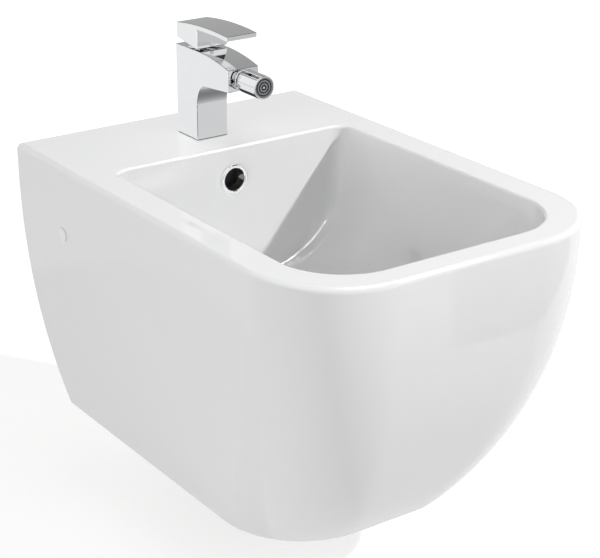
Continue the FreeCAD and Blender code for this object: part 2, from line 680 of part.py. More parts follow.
def horseshoe(top, thickness):
    """Open plate that leaves room for the two hoses and clears the tap stud."""
    plate = disc(HORSESHOE_DIAMETER, top - thickness, top, 0.0, TAP_Y)
    slot = block(-HORSESHOE_SLOT / 2, HORSESHOE_SLOT / 2, TAP_Y - HORSESHOE_DIAMETER,
                 TAP_Y - INLET_OFFSET + INLET_BORE / 2 + OVERCUT, top - thickness, top)
    hole = disc(TAP_STUD_DIAMETER + 2 * FREE_FIT, top - thickness, top, 0.0, TAP_Y + TAP_STUD_OFFSET)
    return plate.cut([slot, hole])


def tap_nut():
    top = LEDGE_UNDERSIDE - HORSESHOE_GASKET - HORSESHOE_WASHER
    foot = top - TAP_NUT_HEIGHT
    stud_y = TAP_Y + TAP_STUD_OFFSET
    nut = hexagon(TAP_NUT_FLATS, foot, top, 0.0, stud_y)
    return nut.cut(disc(TAP_STUD_DIAMETER + 2 * THREAD_FIT, foot, top, 0.0, stud_y))


def inlet_places():
    """Plan positions of the hot and cold waterways."""
    return [(side * INLET_SPREAD / 2, TAP_Y - INLET_OFFSET) for side in ROD_SIDES]


def cartridge_base():
    base = disc(BASE_DIAMETER, BASE_Z, DISC_Z, 0.0, TAP_Y)
    outlet_y = TAP_Y + OUTLET_OFFSET
    cuts = [disc(WATERWAY, DISC_Z - BASE_HEIGHT / 2, DISC_Z, 0.0, outlet_y),
            rod_y(BASE_OUTLET, outlet_y, TAP_Y + BASE_DIAMETER, 0.0, DISC_Z - BASE_HEIGHT / 2)]
    for x, y in inlet_places():
        cuts.append(disc(WATERWAY, BASE_Z, DISC_Z, x, y))
        cuts.append(disc(SEAL_DIAMETER + 2 * THREAD_FIT, BASE_Z, BASE_Z + SEAL_THICKNESS, x, y))
    return base.cut(cuts)


def cartridge_seals():
    return Part.makeCompound([ring(SEAL_DIAMETER, WATERWAY, BASE_Z, BASE_Z + SEAL_THICKNESS, x, y)
                              for x, y in inlet_places()])


def fixed_disc():
    plate = disc(2 * (HOUSING_BORE - THREAD_FIT), DISC_Z, DISC_Z + DISC_THICKNESS, 0.0, TAP_Y)
    ports = [disc(DISC_PORT, DISC_Z, DISC_Z + DISC_THICKNESS, x, y) for x, y in inlet_places()]
    ports.append(disc(WATERWAY, DISC_Z, DISC_Z + DISC_THICKNESS, 0.0, TAP_Y + OUTLET_OFFSET))
    return plate.cut(ports)


def moving_disc():
    plate = disc(MOVING_DISC_DIAMETER, MOVING_DISC_Z, CARRIER_Z, 0.0, TAP_Y)
    pocket = disc(MOVING_DISC_POCKET, MOVING_DISC_Z, MOVING_DISC_Z + MOVING_DISC_POCKET_DEPTH, 0.0, TAP_Y)
    return plate.cut(pocket)


def disc_carrier():
    plate = disc(MOVING_DISC_DIAMETER, CARRIER_Z, KEY_Z, 0.0, TAP_Y)
    key = block(-CARRIER_KEY_WIDTH / 2, CARRIER_KEY_WIDTH / 2, TAP_Y - MOVING_DISC_DIAMETER / 2,
                TAP_Y + MOVING_DISC_DIAMETER / 2, KEY_Z, KEY_Z + CARRIER_KEY_HEIGHT)
    key = key.common(disc(MOVING_DISC_DIAMETER, KEY_Z, KEY_Z + CARRIER_KEY_HEIGHT, 0.0, TAP_Y))
    floor = PIVOT_Z - LOWER_ARM - STEM_BALL / 2 - FREE_FIT
    socket = disc(STEM_BALL + 2 * FREE_FIT, floor, KEY_Z + CARRIER_KEY_HEIGHT, 0.0, TAP_Y)
    return plate.fuse(key).cut(socket)


def cartridge_housing():
    tube = ring(HOUSING_DIAMETER, 2 * HOUSING_BORE, DISC_Z, HOUSING_TOP, 0.0, TAP_Y)
    mouth = ROTOR_NECK_DIAMETER + 2 * FREE_FIT
    lip = ring(HOUSING_DIAMETER, mouth, HOUSING_TOP - HOUSING_LIP, HOUSING_TOP, 0.0, TAP_Y)
    return tube.fuse(lip)


def cartridge_rotor():
    foot = KEY_Z + FREE_FIT
    shoulder = HOUSING_TOP - HOUSING_LIP - FREE_FIT
    neck_top = HOUSING_TOP + ROTOR_NECK_HEIGHT
    body = disc(2 * (HOUSING_BORE - FREE_FIT), foot, shoulder, 0.0, TAP_Y)
    body = body.fuse(disc(ROTOR_NECK_DIAMETER, shoulder, neck_top, 0.0, TAP_Y))
    lift = math.radians(LIFT_ANGLE)
    near = STEM_SIDE / 2 / math.cos(lift) + FREE_FIT
    rise = (neck_top - PIVOT_Z) * math.tan(lift)
    sweep = (PIVOT_Z - foot) * math.tan(lift)
    half = STEM_SIDE / 2 + FREE_FIT
    groove = CARRIER_KEY_WIDTH / 2 + FREE_FIT
    cuts = [block(-half, half, TAP_Y - near, TAP_Y + near + rise, PIVOT_Z, neck_top),
            block(-half, half, TAP_Y - near - sweep, TAP_Y + near, foot, PIVOT_Z),
            block(-groove, groove, TAP_Y - HOUSING_BORE, TAP_Y + HOUSING_BORE,
                  foot, KEY_Z + CARRIER_KEY_HEIGHT + FREE_FIT),
            rod_x(PIN_DIAMETER, -HOUSING_BORE, HOUSING_BORE, TAP_Y, PIVOT_Z)]
    return body.cut(cuts)


def stem_pin():
    reach = HOUSING_BORE - 2 * FREE_FIT
    return rod_x(PIN_DIAMETER, -reach, reach, TAP_Y, PIVOT_Z)


def cartridge_stem():
    half = STEM_SIDE / 2
    ball_z = PIVOT_Z - LOWER_ARM
    shank = block(-half, half, TAP_Y - half, TAP_Y + half, PIVOT_Z - half, PIVOT_Z + STEM_LENGTH)
    neck = disc(STEM_NECK, ball_z, PIVOT_Z, 0.0, TAP_Y)
    ball = Part.makeSphere(STEM_BALL / 2, vec(0, TAP_Y, ball_z))
    hole = rod_x(PIN_DIAMETER + 2 * RUNNING_FIT, -STEM_SIDE, STEM_SIDE, TAP_Y, PIVOT_Z)
    return shank.fuse([neck, ball]).cut(hole)


def cartridge_nut():
    diameter = CHAMBER_DIAMETER - 2 * THREAD_FIT
    nut = ring(diameter, NUT_BORE, HOUSING_TOP, HOUSING_TOP + NUT_HEIGHT, 0.0, TAP_Y)
    top = HOUSING_TOP + NUT_HEIGHT
    half_notch = NUT_NOTCH / 2
    notch = block(-diameter, diameter, TAP_Y - half_notch, TAP_Y + half_notch, top - NUT_NOTCH_DEPTH, top)
    return nut.cut(notch)


def cartridge_cover():
    foot = HOUSING_TOP + NUT_HEIGHT
    skirt = disc(CHAMBER_DIAMETER - 2 * THREAD_FIT, foot, COLUMN_TOP, 0.0, TAP_Y)
    flange = disc(COVER_DIAMETER, COLUMN_TOP, COLUMN_TOP + COVER_HEIGHT, 0.0, TAP_Y)
    return skirt.fuse(flange).cut(disc(COVER_BORE, foot, COLUMN_TOP + COVER_HEIGHT, 0.0, TAP_Y))


def lever_screw_z():
    """Height of the grub screw in the lever hub."""
    return COLUMN_TOP + LEVER_FRONT_GAP + LEVER_SCREW_RISE


def lever_handle():
    left = -TAP_WIDTH / 2
    rear = TAP_Y + LEVER_OVERHANG
    tip = rear - LEVER_LENGTH
    middle = (rear + tip) / 2
    rear_foot = vec(left, rear, COLUMN_TOP + LEVER_REAR_GAP)
    hub_foot = vec(left, HUB_FACE, COLUMN_TOP + LEVER_FRONT_GAP)
    blade_root = vec(left, HUB_FACE, RIM_HEIGHT + LEVER_CROWN - LEVER_BLADE_ROOT)
    blade_middle = vec(left, (HUB_FACE + tip) / 2, RIM_HEIGHT + LEVER_CROWN - LEVER_BLADE)
    tip_foot = vec(left, tip, RIM_HEIGHT + LEVER_TIP_TOP - LEVER_BLADE)
    tip_top = vec(left, tip, RIM_HEIGHT + LEVER_TIP_TOP)
    crown = vec(left, middle, RIM_HEIGHT + LEVER_CROWN)
    rear_top = vec(left, rear, RIM_HEIGHT + LEVER_REAR_TOP)
    edges = [line(rear_foot, hub_foot), line(hub_foot, blade_root), arc(blade_root, blade_middle, tip_foot),
             line(tip_foot, tip_top), arc(tip_top, crown, rear_top), line(rear_top, rear_foot)]
    lever = profile_prism(edges, TAP_WIDTH)
    lever = lever.makeFillet(TAP_EDGE, lever.Edges)
    stem_top = PIVOT_Z + STEM_LENGTH
    inner = TAP_WIDTH / 2 - LEVER_WALL
    socket = STEM_SIDE / 2 + THREAD_FIT
    hub_half = STEM_SIDE / 2 + LEVER_WALL
    hollow = block(-inner, inner, HUB_FACE + LEVER_WALL, rear - LEVER_WALL, COLUMN_TOP, stem_top)
    hollow = hollow.cut(block(-hub_half, hub_half, HUB_FACE, TAP_Y + hub_half, COLUMN_TOP, stem_top))
    screw_z = lever_screw_z()
    cuts = [hollow, block(-socket, socket, TAP_Y - socket, TAP_Y + socket, COLUMN_TOP, stem_top),
            rod_y(LEVER_SCREW_DIAMETER + 2 * THREAD_FIT, HUB_FACE - OVERCUT, TAP_Y, 0.0, screw_z)]
    return lever.cut(cuts)


def lever_grub_screw():
    end = TAP_Y - STEM_SIDE / 2
    head = end - LEVER_SCREW_LENGTH
    screw = rod_y(LEVER_SCREW_DIAMETER, head, end, 0.0, lever_screw_z())
    socket = hexagon(LEVER_SCREW_DIAMETER / 2, 0.0, LEVER_SCREW_DIAMETER)
    socket.Placement = FreeCAD.Placement(vec(0, head + LEVER_SCREW_DIAMETER / 2, lever_screw_z()),
                                         FreeCAD.Rotation(vec(0, 0, 1), vec(0, -1, 0)))
    return screw.cut(socket)


def lever_screw_cap():
    front = HUB_FACE - LEVER_CAP_PROUD
    cap = rod_y(LEVER_SCREW_DIAMETER, front, HUB_FACE + LEVER_CAP_DEPTH, 0.0, lever_screw_z())
    return cap.makeFillet(LEVER_CAP_ROUND, [e for e in cap.Edges if e.BoundBox.YMax < front + 1e-4])


def ball_space(diameter):
    return Part.makeSphere(diameter / 2, vec(0, BALL_Y, SPOUT_AXIS))


def nozzle_collar():
    face = NOZZLE_INSET
    barrel = nozzle_rod(NOZZLE_SOCKET - 2 * THREAD_FIT, -NOZZLE_COLLAR_REAR, face)
    flange = nozzle_rod(NOZZLE_COLLAR_FLANGE, face, face + NOZZLE_FLANGE_THICKNESS)
    mouth = nozzle_rod(NOZZLE_COLLAR_MOUTH, 0.0, face + NOZZLE_FLANGE_THICKNESS)
    return barrel.fuse(flange).cut([ball_space(NOZZLE_BALL + 2 * FREE_FIT), mouth])


def nozzle_seat():
    start = -NOZZLE_COLLAR_REAR - FREE_FIT
    seat = nozzle_rod(NOZZLE_SOCKET - 2 * FREE_FIT, start - NOZZLE_SEAT_LENGTH, start)
    waterway = nozzle_rod(NOZZLE_SEAT_BORE, start - NOZZLE_SEAT_LENGTH, start)
    return seat.cut([ball_space(NOZZLE_BALL + 2 * FREE_FIT), waterway])


def nozzle_washer():
    floor = NOZZLE_INSET - NOZZLE_SOCKET_DEPTH
    return nozzle_ring(NOZZLE_SOCKET - 2 * THREAD_FIT, SPOUT_WATERWAY, floor, floor + NOZZLE_WASHER)


def nozzle_ball():
    start = NOZZLE_BARREL_START
    ball = ball_space(NOZZLE_BALL)
    neck = nozzle_rod(NOZZLE_NECK, 0.0, start)
    spigot = nozzle_rod(NOZZLE_SPIGOT, start, start + NOZZLE_SPIGOT_LENGTH)
    waterway = nozzle_rod(NOZZLE_WATERWAY, -NOZZLE_BALL, start + NOZZLE_SPIGOT_LENGTH)
    return ball.fuse([neck, spigot]).cut(waterway)


def nozzle_barrel():
    start = NOZZLE_BARREL_START
    end = start + NOZZLE_BARREL_LENGTH
    barrel = nozzle_rod(NOZZLE_BARREL, start, end)
    rims = [e for e in barrel.Edges if len(e.Vertexes) == 1]
    barrel = barrel.makeFillet(NOZZLE_BARREL_ROUND, rims)
    groove_start = start + NOZZLE_GROOVE_START
    groove = nozzle_ring(NOZZLE_BARREL + OVERCUT, NOZZLE_BARREL - 2 * NOZZLE_GROOVE_DEPTH,
                         groove_start, groove_start + NOZZLE_GROOVE_WIDTH)
    chamber = nozzle_rod(NOZZLE_BARREL - 2 * NOZZLE_BARREL_WALL, start + NOZZLE_SPIGOT_LENGTH, end)
    thread = nozzle_rod(NOZZLE_SPIGOT + 2 * THREAD_FIT, start, start + NOZZLE_SPIGOT_LENGTH)
    return barrel.cut([groove, chamber, thread])


def aerator_insert():
    end = NOZZLE_BARREL_START + NOZZLE_BARREL_LENGTH - AERATOR_RECESS
    radius = NOZZLE_BARREL / 2 - NOZZLE_BARREL_WALL - THREAD_FIT
    insert = nozzle_rod(2 * radius, end - AERATOR_LENGTH, end)
    pitch = radius / (AERATOR_GROOVES + 0.5)
    cuts = []
    for k in range(AERATOR_GROOVES):
        outer = 2 * pitch * (k + 1)
        cuts.append(nozzle_ring(outer, outer - pitch, end - AERATOR_GROOVE_DEPTH, end))
        holes = AERATOR_HOLES * (k + 1)
        for n in range(holes):
            turn = 2 * math.pi * n / holes
            reach = outer / 2 - pitch / 4
            x = reach * math.cos(turn)
            z = SPOUT_AXIS + reach * math.sin(turn)
            cuts.append(rod_y(AERATOR_HOLE, BALL_Y - end, BALL_Y - end + AERATOR_LENGTH, x, z))
    return insert.cut(cuts)


def aerator_gasket():
    end = NOZZLE_BARREL_START + NOZZLE_BARREL_LENGTH - AERATOR_RECESS - AERATOR_LENGTH
    diameter = NOZZLE_BARREL - 2 * NOZZLE_BARREL_WALL - 2 * THREAD_FIT
    return nozzle_ring(diameter, AERATOR_GASKET_BORE, end - AERATOR_GASKET, end)


def tail_bore():
    return TAIL_DIAMETER - 2 * TAIL_WALL


def waste_body():
    flange = disc(FLANGE_DIAMETER, FLANGE_Z, FLANGE_TOP, 0.0, DRAIN_Y)
    rim = [e for e in flange.Edges if e.BoundBox.ZMin > FLANGE_TOP - 1e-4]
    flange = flange.makeFillet(FLANGE_ROUND, rim)
    tail = disc(TAIL_DIAMETER, TAIL_FOOT, FLANGE_Z, 0.0, DRAIN_Y)
    cuts = [disc(tail_bore(), TAIL_FOOT, FLANGE_TOP, 0.0, DRAIN_Y),
            disc(PLUG_SEAT_DIAMETER, FLANGE_Z + PLUG_SEAT_STEP, FLANGE_TOP, 0.0, DRAIN_Y)]
    slot_middle = (COLLAR_FOOT + CHAMBER_MARGIN + SEAT_Z - CHAMBER_MARGIN) / 2
    for k in range(TAIL_SLOTS):
        slot = block(0.0, TAIL_DIAMETER, -TAIL_SLOT_WIDTH / 2, TAIL_SLOT_WIDTH / 2,
                     -TAIL_SLOT_HEIGHT / 2, TAIL_SLOT_HEIGHT / 2)
        slot.Placement = FreeCAD.Placement(vec(0, DRAIN_Y, slot_middle),
                                           FreeCAD.Rotation(vec(0, 0, 1), 360.0 * (k + 0.5) / TAIL_SLOTS))
        cuts.append(slot)
    return flange.fuse(tail).cut(cuts)


def waste_flange_seal():
    return ring(FLANGE_SEAL_DIAMETER, FLANGE_SEAL_BORE, SEAT_Z, FLANGE_Z, 0.0, DRAIN_Y)


def waste_lower_seal():
    bore = TAIL_DIAMETER + 2 * FREE_FIT
    return ring(LOWER_SEAL_DIAMETER, bore, COLLAR_FOOT - LOWER_SEAL, COLLAR_FOOT, 0.0, DRAIN_Y)


def waste_washer():
    top = COLLAR_FOOT - LOWER_SEAL
    return ring(LOWER_SEAL_DIAMETER, TAIL_DIAMETER + 2 * FREE_FIT, top - LOWER_WASHER, top, 0.0, DRAIN_Y)


def waste_backnut():
    top = COLLAR_FOOT - LOWER_SEAL - LOWER_WASHER
    nut = hexagon(BACKNUT_FLATS, top - BACKNUT_HEIGHT, top, 0.0, DRAIN_Y)
    return nut.cut(disc(TAIL_DIAMETER + 2 * THREAD_FIT, top - BACKNUT_HEIGHT, top, 0.0, DRAIN_Y))


def plug_guide():
    top = FLANGE_Z - GUIDE_START
    foot = top - GUIDE_HEIGHT
    rim = ring(tail_bore() - 2 * THREAD_FIT, tail_bore() - 2 * GUIDE_RIM, foot, top, 0.0, DRAIN_Y)
    hub = disc(GUIDE_HUB, foot, top, 0.0, DRAIN_Y)
    arms = []
    for k in range(GUIDE_ARMS):
        arm = block(0.0, tail_bore() / 2 - GUIDE_RIM / 2, -GUIDE_ARM / 2, GUIDE_ARM / 2, 0.0, GUIDE_HEIGHT)
        arm.Placement = FreeCAD.Placement(vec(0, DRAIN_Y, foot),
                                          FreeCAD.Rotation(vec(0, 0, 1), 360.0 * k / GUIDE_ARMS))
        arms.append(arm)
    bore = disc(CAPSULE_DIAMETER + 2 * THREAD_FIT, foot, top, 0.0, DRAIN_Y)
    return rim.fuse([hub] + arms).cut(bore)


def capsule_span():
    """Upper and lower ends of the click capsule."""
    top = FLANGE_Z - CAPSULE_START
    return top, top - PLUG_LIFT - PLUNGER_GRIP - SPRING_LENGTH - CAPSULE_FOOT


def plug_capsule():
    top, foot = capsule_span()
    bore = disc(PLUG_STEM + 2 * FREE_FIT, foot + CAPSULE_FOOT, top, 0.0, DRAIN_Y)
    return disc(CAPSULE_DIAMETER, foot, top, 0.0, DRAIN_Y).cut(bore)


def spring_foot():
    return capsule_span()[1] + CAPSULE_FOOT


def plug_spring():
    """Coil under the plunger, built from quarter-turn arcs."""
    radius = (SPRING_DIAMETER - SPRING_WIRE) / 2
    start_z = spring_foot() + SPRING_WIRE / 2 + THREAD_FIT
    rise = SPRING_LENGTH - SPRING_WIRE - 2 * THREAD_FIT

    def point(turn):
        angle = 2 * math.pi * turn
        z = start_z + rise * turn / SPRING_TURNS
        return vec(radius * math.cos(angle), DRAIN_Y + radius * math.sin(angle), z)

    quarters = range(4 * SPRING_TURNS)
    path = Part.Wire([arc(point(k / 4), point((k + 0.5) / 4), point((k + 1) / 4)) for k in quarters])
    start = path.Edges[0]
    section = Part.Wire(Part.makeCircle(SPRING_WIRE / 2, point(0), start.tangentAt(start.FirstParameter)))
    return path.makePipeShell([section], True, False)


def plug_underside():
    """Height of the underside of the closed plug."""
    return FLANGE_TOP + 2 * FREE_FIT


def plug_plunger():
    return disc(PLUG_STEM, spring_foot() + SPRING_LENGTH, plug_underside(), 0.0, DRAIN_Y)


def plug_cap():
    foot = plug_underside()
    shoulder = foot + PLUG_EDGE
    radius = PLUG_DIAMETER / 2
    dome = (radius ** 2 + PLUG_CROWN ** 2) / (2 * PLUG_CROWN)
    cap = Part.makeSphere(dome, vec(0, DRAIN_Y, shoulder + PLUG_CROWN - dome))
    return cap.common(disc(PLUG_DIAMETER, foot, shoulder + PLUG_CROWN + OVERCUT, 0.0, DRAIN_Y))


def plug_seal():
    outer = PLUG_SEAT_DIAMETER - 2 * FREE_FIT
    foot = FLANGE_Z + PLUG_SEAT_STEP + FREE_FIT
    return ring(outer, outer - 2 * PLUG_SEAL_WIDTH, foot, plug_underside(), 0.0, DRAIN_Y)


def dip_top():
    return TAIL_FOOT - INLET_WASHER


def trap_inlet_nut():
    top = TAIL_FOOT + INLET_NUT_GRIP
    shelf = dip_top() - DIP_FLANGE
    nut = disc(INLET_NUT_DIAMETER, shelf - INLET_NUT_LIP, top, 0.0, DRAIN_Y)
    cuts = [disc(TAIL_DIAMETER + 2 * THREAD_FIT, shelf, top, 0.0, DRAIN_Y),
            disc(DIP_DIAMETER + 2 * FREE_FIT, shelf - INLET_NUT_LIP, shelf, 0.0, DRAIN_Y)]
    return nut.cut(cuts)


def trap_inlet_washer():
    return ring(TAIL_DIAMETER, DIP_DIAMETER - 2 * DIP_WALL, dip_top(), TAIL_FOOT, 0.0, DRAIN_Y)


def trap_dip_tube():
    bore = DIP_DIAMETER - 2 * DIP_WALL
    tube = ring(DIP_DIAMETER, bore, dip_top() - DIP_LENGTH, dip_top(), 0.0, DRAIN_Y)
    return tube.fuse(ring(TAIL_DIAMETER, bore, dip_top() - DIP_FLANGE, dip_top(), 0.0, DRAIN_Y))


def bottle_span():
    """Upper and lower ends of the trap bottle."""
    top = TAIL_FOOT - BOTTLE_TOP
    return top, top - BOTTLE_HEIGHT


def trap_bottle():
    top, foot = bottle_span()
    inner = BOTTLE_DIAMETER - 2 * BOTTLE_WALL
    bottle = disc(BOTTLE_DIAMETER, foot, top, 0.0, DRAIN_Y)
    bottle = bottle.fuse(rod_y(BRANCH_DIAMETER, DRAIN_Y, BRANCH_END, 0.0, TRAP_BRANCH_Z))
    cuts = [disc(inner, foot, top - BOTTLE_WALL, 0.0, DRAIN_Y),
            disc(DIP_DIAMETER + 2 * THREAD_FIT, foot, top, 0.0, DRAIN_Y),
            rod_y(BRANCH_DIAMETER - 2 * BRANCH_WALL, DRAIN_Y, BRANCH_END, 0.0, TRAP_BRANCH_Z)]
    return bottle.cut(cuts)


def trap_cup():
    foot = bottle_span()[1]
    outer = BOTTLE_DIAMETER + 2 * THREAD_FIT + 2 * CUP_WALL
    base = foot + CUP_GRIP - CUP_HEIGHT
    shelf = foot - CUP_SEAL
    cuts = [disc(BOTTLE_DIAMETER + 2 * THREAD_FIT, shelf, foot + CUP_GRIP, 0.0, DRAIN_Y),
            disc(BOTTLE_DIAMETER - 2 * BOTTLE_WALL, base + CUP_WALL, shelf, 0.0, DRAIN_Y)]
    return disc(outer, base, foot + CUP_GRIP, 0.0, DRAIN_Y).cut(cuts)


def trap_cup_seal():
    foot = bottle_span()[1]
    return ring(BOTTLE_DIAMETER, BOTTLE_DIAMETER - 2 * BOTTLE_WALL, foot - CUP_SEAL, foot, 0.0, DRAIN_Y)


def trap_outlet_nut():
    start = BRANCH_END - OUTLET_NUT_GRIP
    end = start + OUTLET_NUT_LENGTH
    nut = rod_y(OUTLET_NUT_DIAMETER, start, end, 0.0, TRAP_BRANCH_Z)
    cuts = [rod_y(BRANCH_DIAMETER + 2 * THREAD_FIT, start, end - OUTLET_NUT_LIP, 0.0, TRAP_BRANCH_Z),
            rod_y(PIPE_DIAMETER + 2 * FREE_FIT, start, end, 0.0, TRAP_BRANCH_Z)]
    return nut.cut(cuts)


def trap_outlet_washer():
    return ring_y(BRANCH_DIAMETER, PIPE_DIAMETER + 2 * THREAD_FIT, BRANCH_END, BRANCH_END + OUTLET_WASHER,
                  0.0, TRAP_BRANCH_Z)


def outlet_pipe():
    bore = PIPE_DIAMETER - 2 * PIPE_WALL
    pipe = ring_y(PIPE_DIAMETER, bore, PIPE_START, PIPE_BEYOND_WALL, 0.0, TRAP_BRANCH_Z)
    bead = ring_y(PIPE_DIAMETER + 2 * PIPE_BEAD_HEIGHT, bore, -PIPE_BEAD, 0.0, 0.0, TRAP_BRANCH_Z)
    return pipe.fuse(bead)


def assembly():
    """Every piece by its node name."""
    washer_top = LEDGE_UNDERSIDE - HORSESHOE_GASKET
    return {
        "china_rim": china_rim(),
        "china_basin": china_basin(),
        "china_duct": china_duct(),
        "china_skirt": china_skirt(),
        "china_back": china_back(),
        "china_base": china_base(),
        "overflow_ring": overflow_ring(),
        "side_hole_caps": side_hole_caps(),
        "fixing_blocks": fixing_blocks(),
        "clamp_screws": clamp_screws(),
        "tap_body": tap_body(),
        "tap_base_gasket": tap_base_gasket(),
        "tap_stud": tap_stud(),
        "horseshoe_gasket": horseshoe(LEDGE_UNDERSIDE, HORSESHOE_GASKET),
        "horseshoe_washer": horseshoe(washer_top, HORSESHOE_WASHER),
        "tap_nut": tap_nut(),
        "cartridge_base": cartridge_base(),
        "cartridge_seals": cartridge_seals(),
        "fixed_disc": fixed_disc(),
        "moving_disc": moving_disc(),
        "disc_carrier": disc_carrier(),
        "cartridge_housing": cartridge_housing(),
        "cartridge_rotor": cartridge_rotor(),
        "stem_pin": stem_pin(),
        "cartridge_stem": cartridge_stem(),
        "cartridge_nut": cartridge_nut(),
        "cartridge_cover": cartridge_cover(),
        "lever_handle": lever_handle(),
        "lever_grub_screw": lever_grub_screw(),
        "lever_screw_cap": lever_screw_cap(),
        "nozzle_collar": nozzle_collar(),
        "nozzle_seat": nozzle_seat(),
        "nozzle_washer": nozzle_washer(),
        "nozzle_ball": nozzle_ball(),
        "nozzle_barrel": nozzle_barrel(),
        "aerator_insert": aerator_insert(),
        "aerator_gasket": aerator_gasket(),
        "waste_body": waste_body(),
        "waste_flange_seal": waste_flange_seal(),
        "waste_lower_seal": waste_lower_seal(),
        "waste_washer": waste_washer(),
        "waste_backnut": waste_backnut(),
        "plug_guide": plug_guide(),
        "plug_capsule": plug_capsule(),
        "plug_spring": plug_spring(),
        "plug_plunger": plug_plunger(),
        "plug_cap": plug_cap(),
        "plug_seal": plug_seal(),
        "trap_inlet_nut": trap_inlet_nut(),
        "trap_inlet_washer": trap_inlet_washer(),
        "trap_dip_tube": trap_dip_tube(),
        "trap_bottle": trap_bottle(),
        "trap_cup": trap_cup(),
        "trap_cup_seal": trap_cup_seal(),
        "trap_outlet_nut": trap_outlet_nut(),
        "trap_outlet_washer": trap_outlet_washer(),
        "outlet_pipe": outlet_pipe(),
    }


def main():
    os.makedirs("parts", exist_ok=True)
    for name, shape in assembly().items():
        print(name, "solids", len(shape.Solids), "valid", shape.isValid(), "volume", round(shape.Volume, 1))
        shape.exportStep(os.path.join("parts", name + ".step"))


main()
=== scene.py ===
"""Looks of a wall-hung bidet with a single-lever mixer: finishes, fine pieces, studio and camera.

Lengths are in metres. The origin is on the wall between the two rods, -Y is outwards and +Z is up.
"""
import logging
import math
from collections.abc import Callable, Sequence
from dataclasses import dataclass
from enum import Enum
from typing import ClassVar

import bpy
import numpy as np
from mathutils import Matrix, Vector


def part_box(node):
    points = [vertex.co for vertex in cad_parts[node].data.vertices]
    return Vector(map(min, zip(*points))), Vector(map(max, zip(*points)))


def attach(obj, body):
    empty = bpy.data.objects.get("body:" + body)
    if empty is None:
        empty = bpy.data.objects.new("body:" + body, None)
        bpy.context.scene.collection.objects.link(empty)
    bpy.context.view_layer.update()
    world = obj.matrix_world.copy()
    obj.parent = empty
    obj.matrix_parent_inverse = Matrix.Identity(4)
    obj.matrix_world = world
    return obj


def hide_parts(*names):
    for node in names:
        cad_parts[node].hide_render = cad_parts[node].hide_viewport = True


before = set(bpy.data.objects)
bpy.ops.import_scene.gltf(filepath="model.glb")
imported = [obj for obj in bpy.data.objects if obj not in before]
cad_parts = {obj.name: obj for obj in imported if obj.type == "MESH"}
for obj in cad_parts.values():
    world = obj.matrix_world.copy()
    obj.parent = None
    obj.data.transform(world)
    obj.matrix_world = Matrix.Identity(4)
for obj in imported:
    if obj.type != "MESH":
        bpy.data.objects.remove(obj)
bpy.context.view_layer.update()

LOG = logging.getLogger("bidet")
TAU = 2.0 * math.pi

CHINA_NODES = ("china_rim", "china_basin", "china_duct", "china_skirt", "china_back", "china_base")
FOOT_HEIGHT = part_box("china_base")[0].z

Colour = tuple[float, float, float]
Point = tuple[float, float, float]
Span = tuple[float, float]
Grid = np.ndarray
Feed = float | Sequence[float] | bpy.types.NodeSocket

BLACK: Colour = (0.0, 0.0, 0.0)
WHITE: Colour = (1.0, 1.0, 1.0)


def opaque(colour: Colour) -> tuple[float, float, float, float]:
    """The colour with full alpha."""
    return (*colour, 1.0)


# Shader trees


class SocketKind(Enum):
    """What a group's socket carries."""

    NUMBER = "NodeSocketFloat"
    VECTOR = "NodeSocketVector"
    COLOUR = "NodeSocketColor"


class Wiring:
    """A node tree that is being wired. A feed is a plain value or the output of a node."""

    # The Mix node has sockets of the same names for numbers, vectors and colours: these are the colours'
    MIX_FIRST = 6
    MIX_SECOND = 7
    MIX_RESULT = 2

    def __init__(self, tree: bpy.types.NodeTree) -> None:
        """Takes the tree to wire."""
        self.tree = tree

    def join(self, feed: Feed, socket: bpy.types.NodeSocket) -> None:
        """Links a feed to an input where it is an output, and sets it there where it is a plain value.

        Args:
            feed: The value or output.
            socket: The input.
        """
        if isinstance(feed, bpy.types.NodeSocket):
            self.tree.links.new(feed, socket)
        else:
            socket.default_value = feed

    def fill(self, node: bpy.types.Node, feeds: dict[str, Feed]) -> bpy.types.Node:
        """Sets or links a node's inputs.

        Args:
            node: The node.
            feeds: The feed of each input, by its name with underscores for blanks.

        Returns:
            The same node.
        """
        for label, feed in feeds.items():
            self.join(feed, node.inputs[label.replace("_", " ")])
        return node

    def add(self, kind: str, **feeds: Feed) -> bpy.types.Node:
        """Adds a node of a kind, with inputs set or linked as in fill."""
        return self.fill(self.tree.nodes.new(kind), feeds)

    def ramp(self, feed: Feed, source: tuple[Feed, Feed] = (0.0, 1.0),
             target: tuple[Feed, Feed] = (0.0, 1.0)) -> bpy.types.NodeSocket:
        """Maps a value from one range onto another in a straight line, and holds it past the ends.

        Args:
            feed: The value.
            source: The range that it comes in.
            target: The range that it goes out in.

        Returns:
            The mapped value.
        """
        node = self.add("ShaderNodeMapRange", Value=feed, From_Min=source[0], From_Max=source[1],
                        To_Min=target[0], To_Max=target[1])
        return node.outputs["Result"]

    def mix(self, mask: bpy.types.NodeSocket, first: Feed, second: Feed) -> bpy.types.NodeSocket:
        """Mixes two colours by a mask.

        Args:
            mask: The mask.
            first: The colour where the mask is 0.
            second: The colour where the mask is 1.

        Returns:
            The mixed colour.
        """
        node = self.add("ShaderNodeMix", Factor=mask)
        node.data_type = "RGBA"
        self.join(first, node.inputs[self.MIX_FIRST])
        self.join(second, node.inputs[self.MIX_SECOND])
        return node.outputs[self.MIX_RESULT]


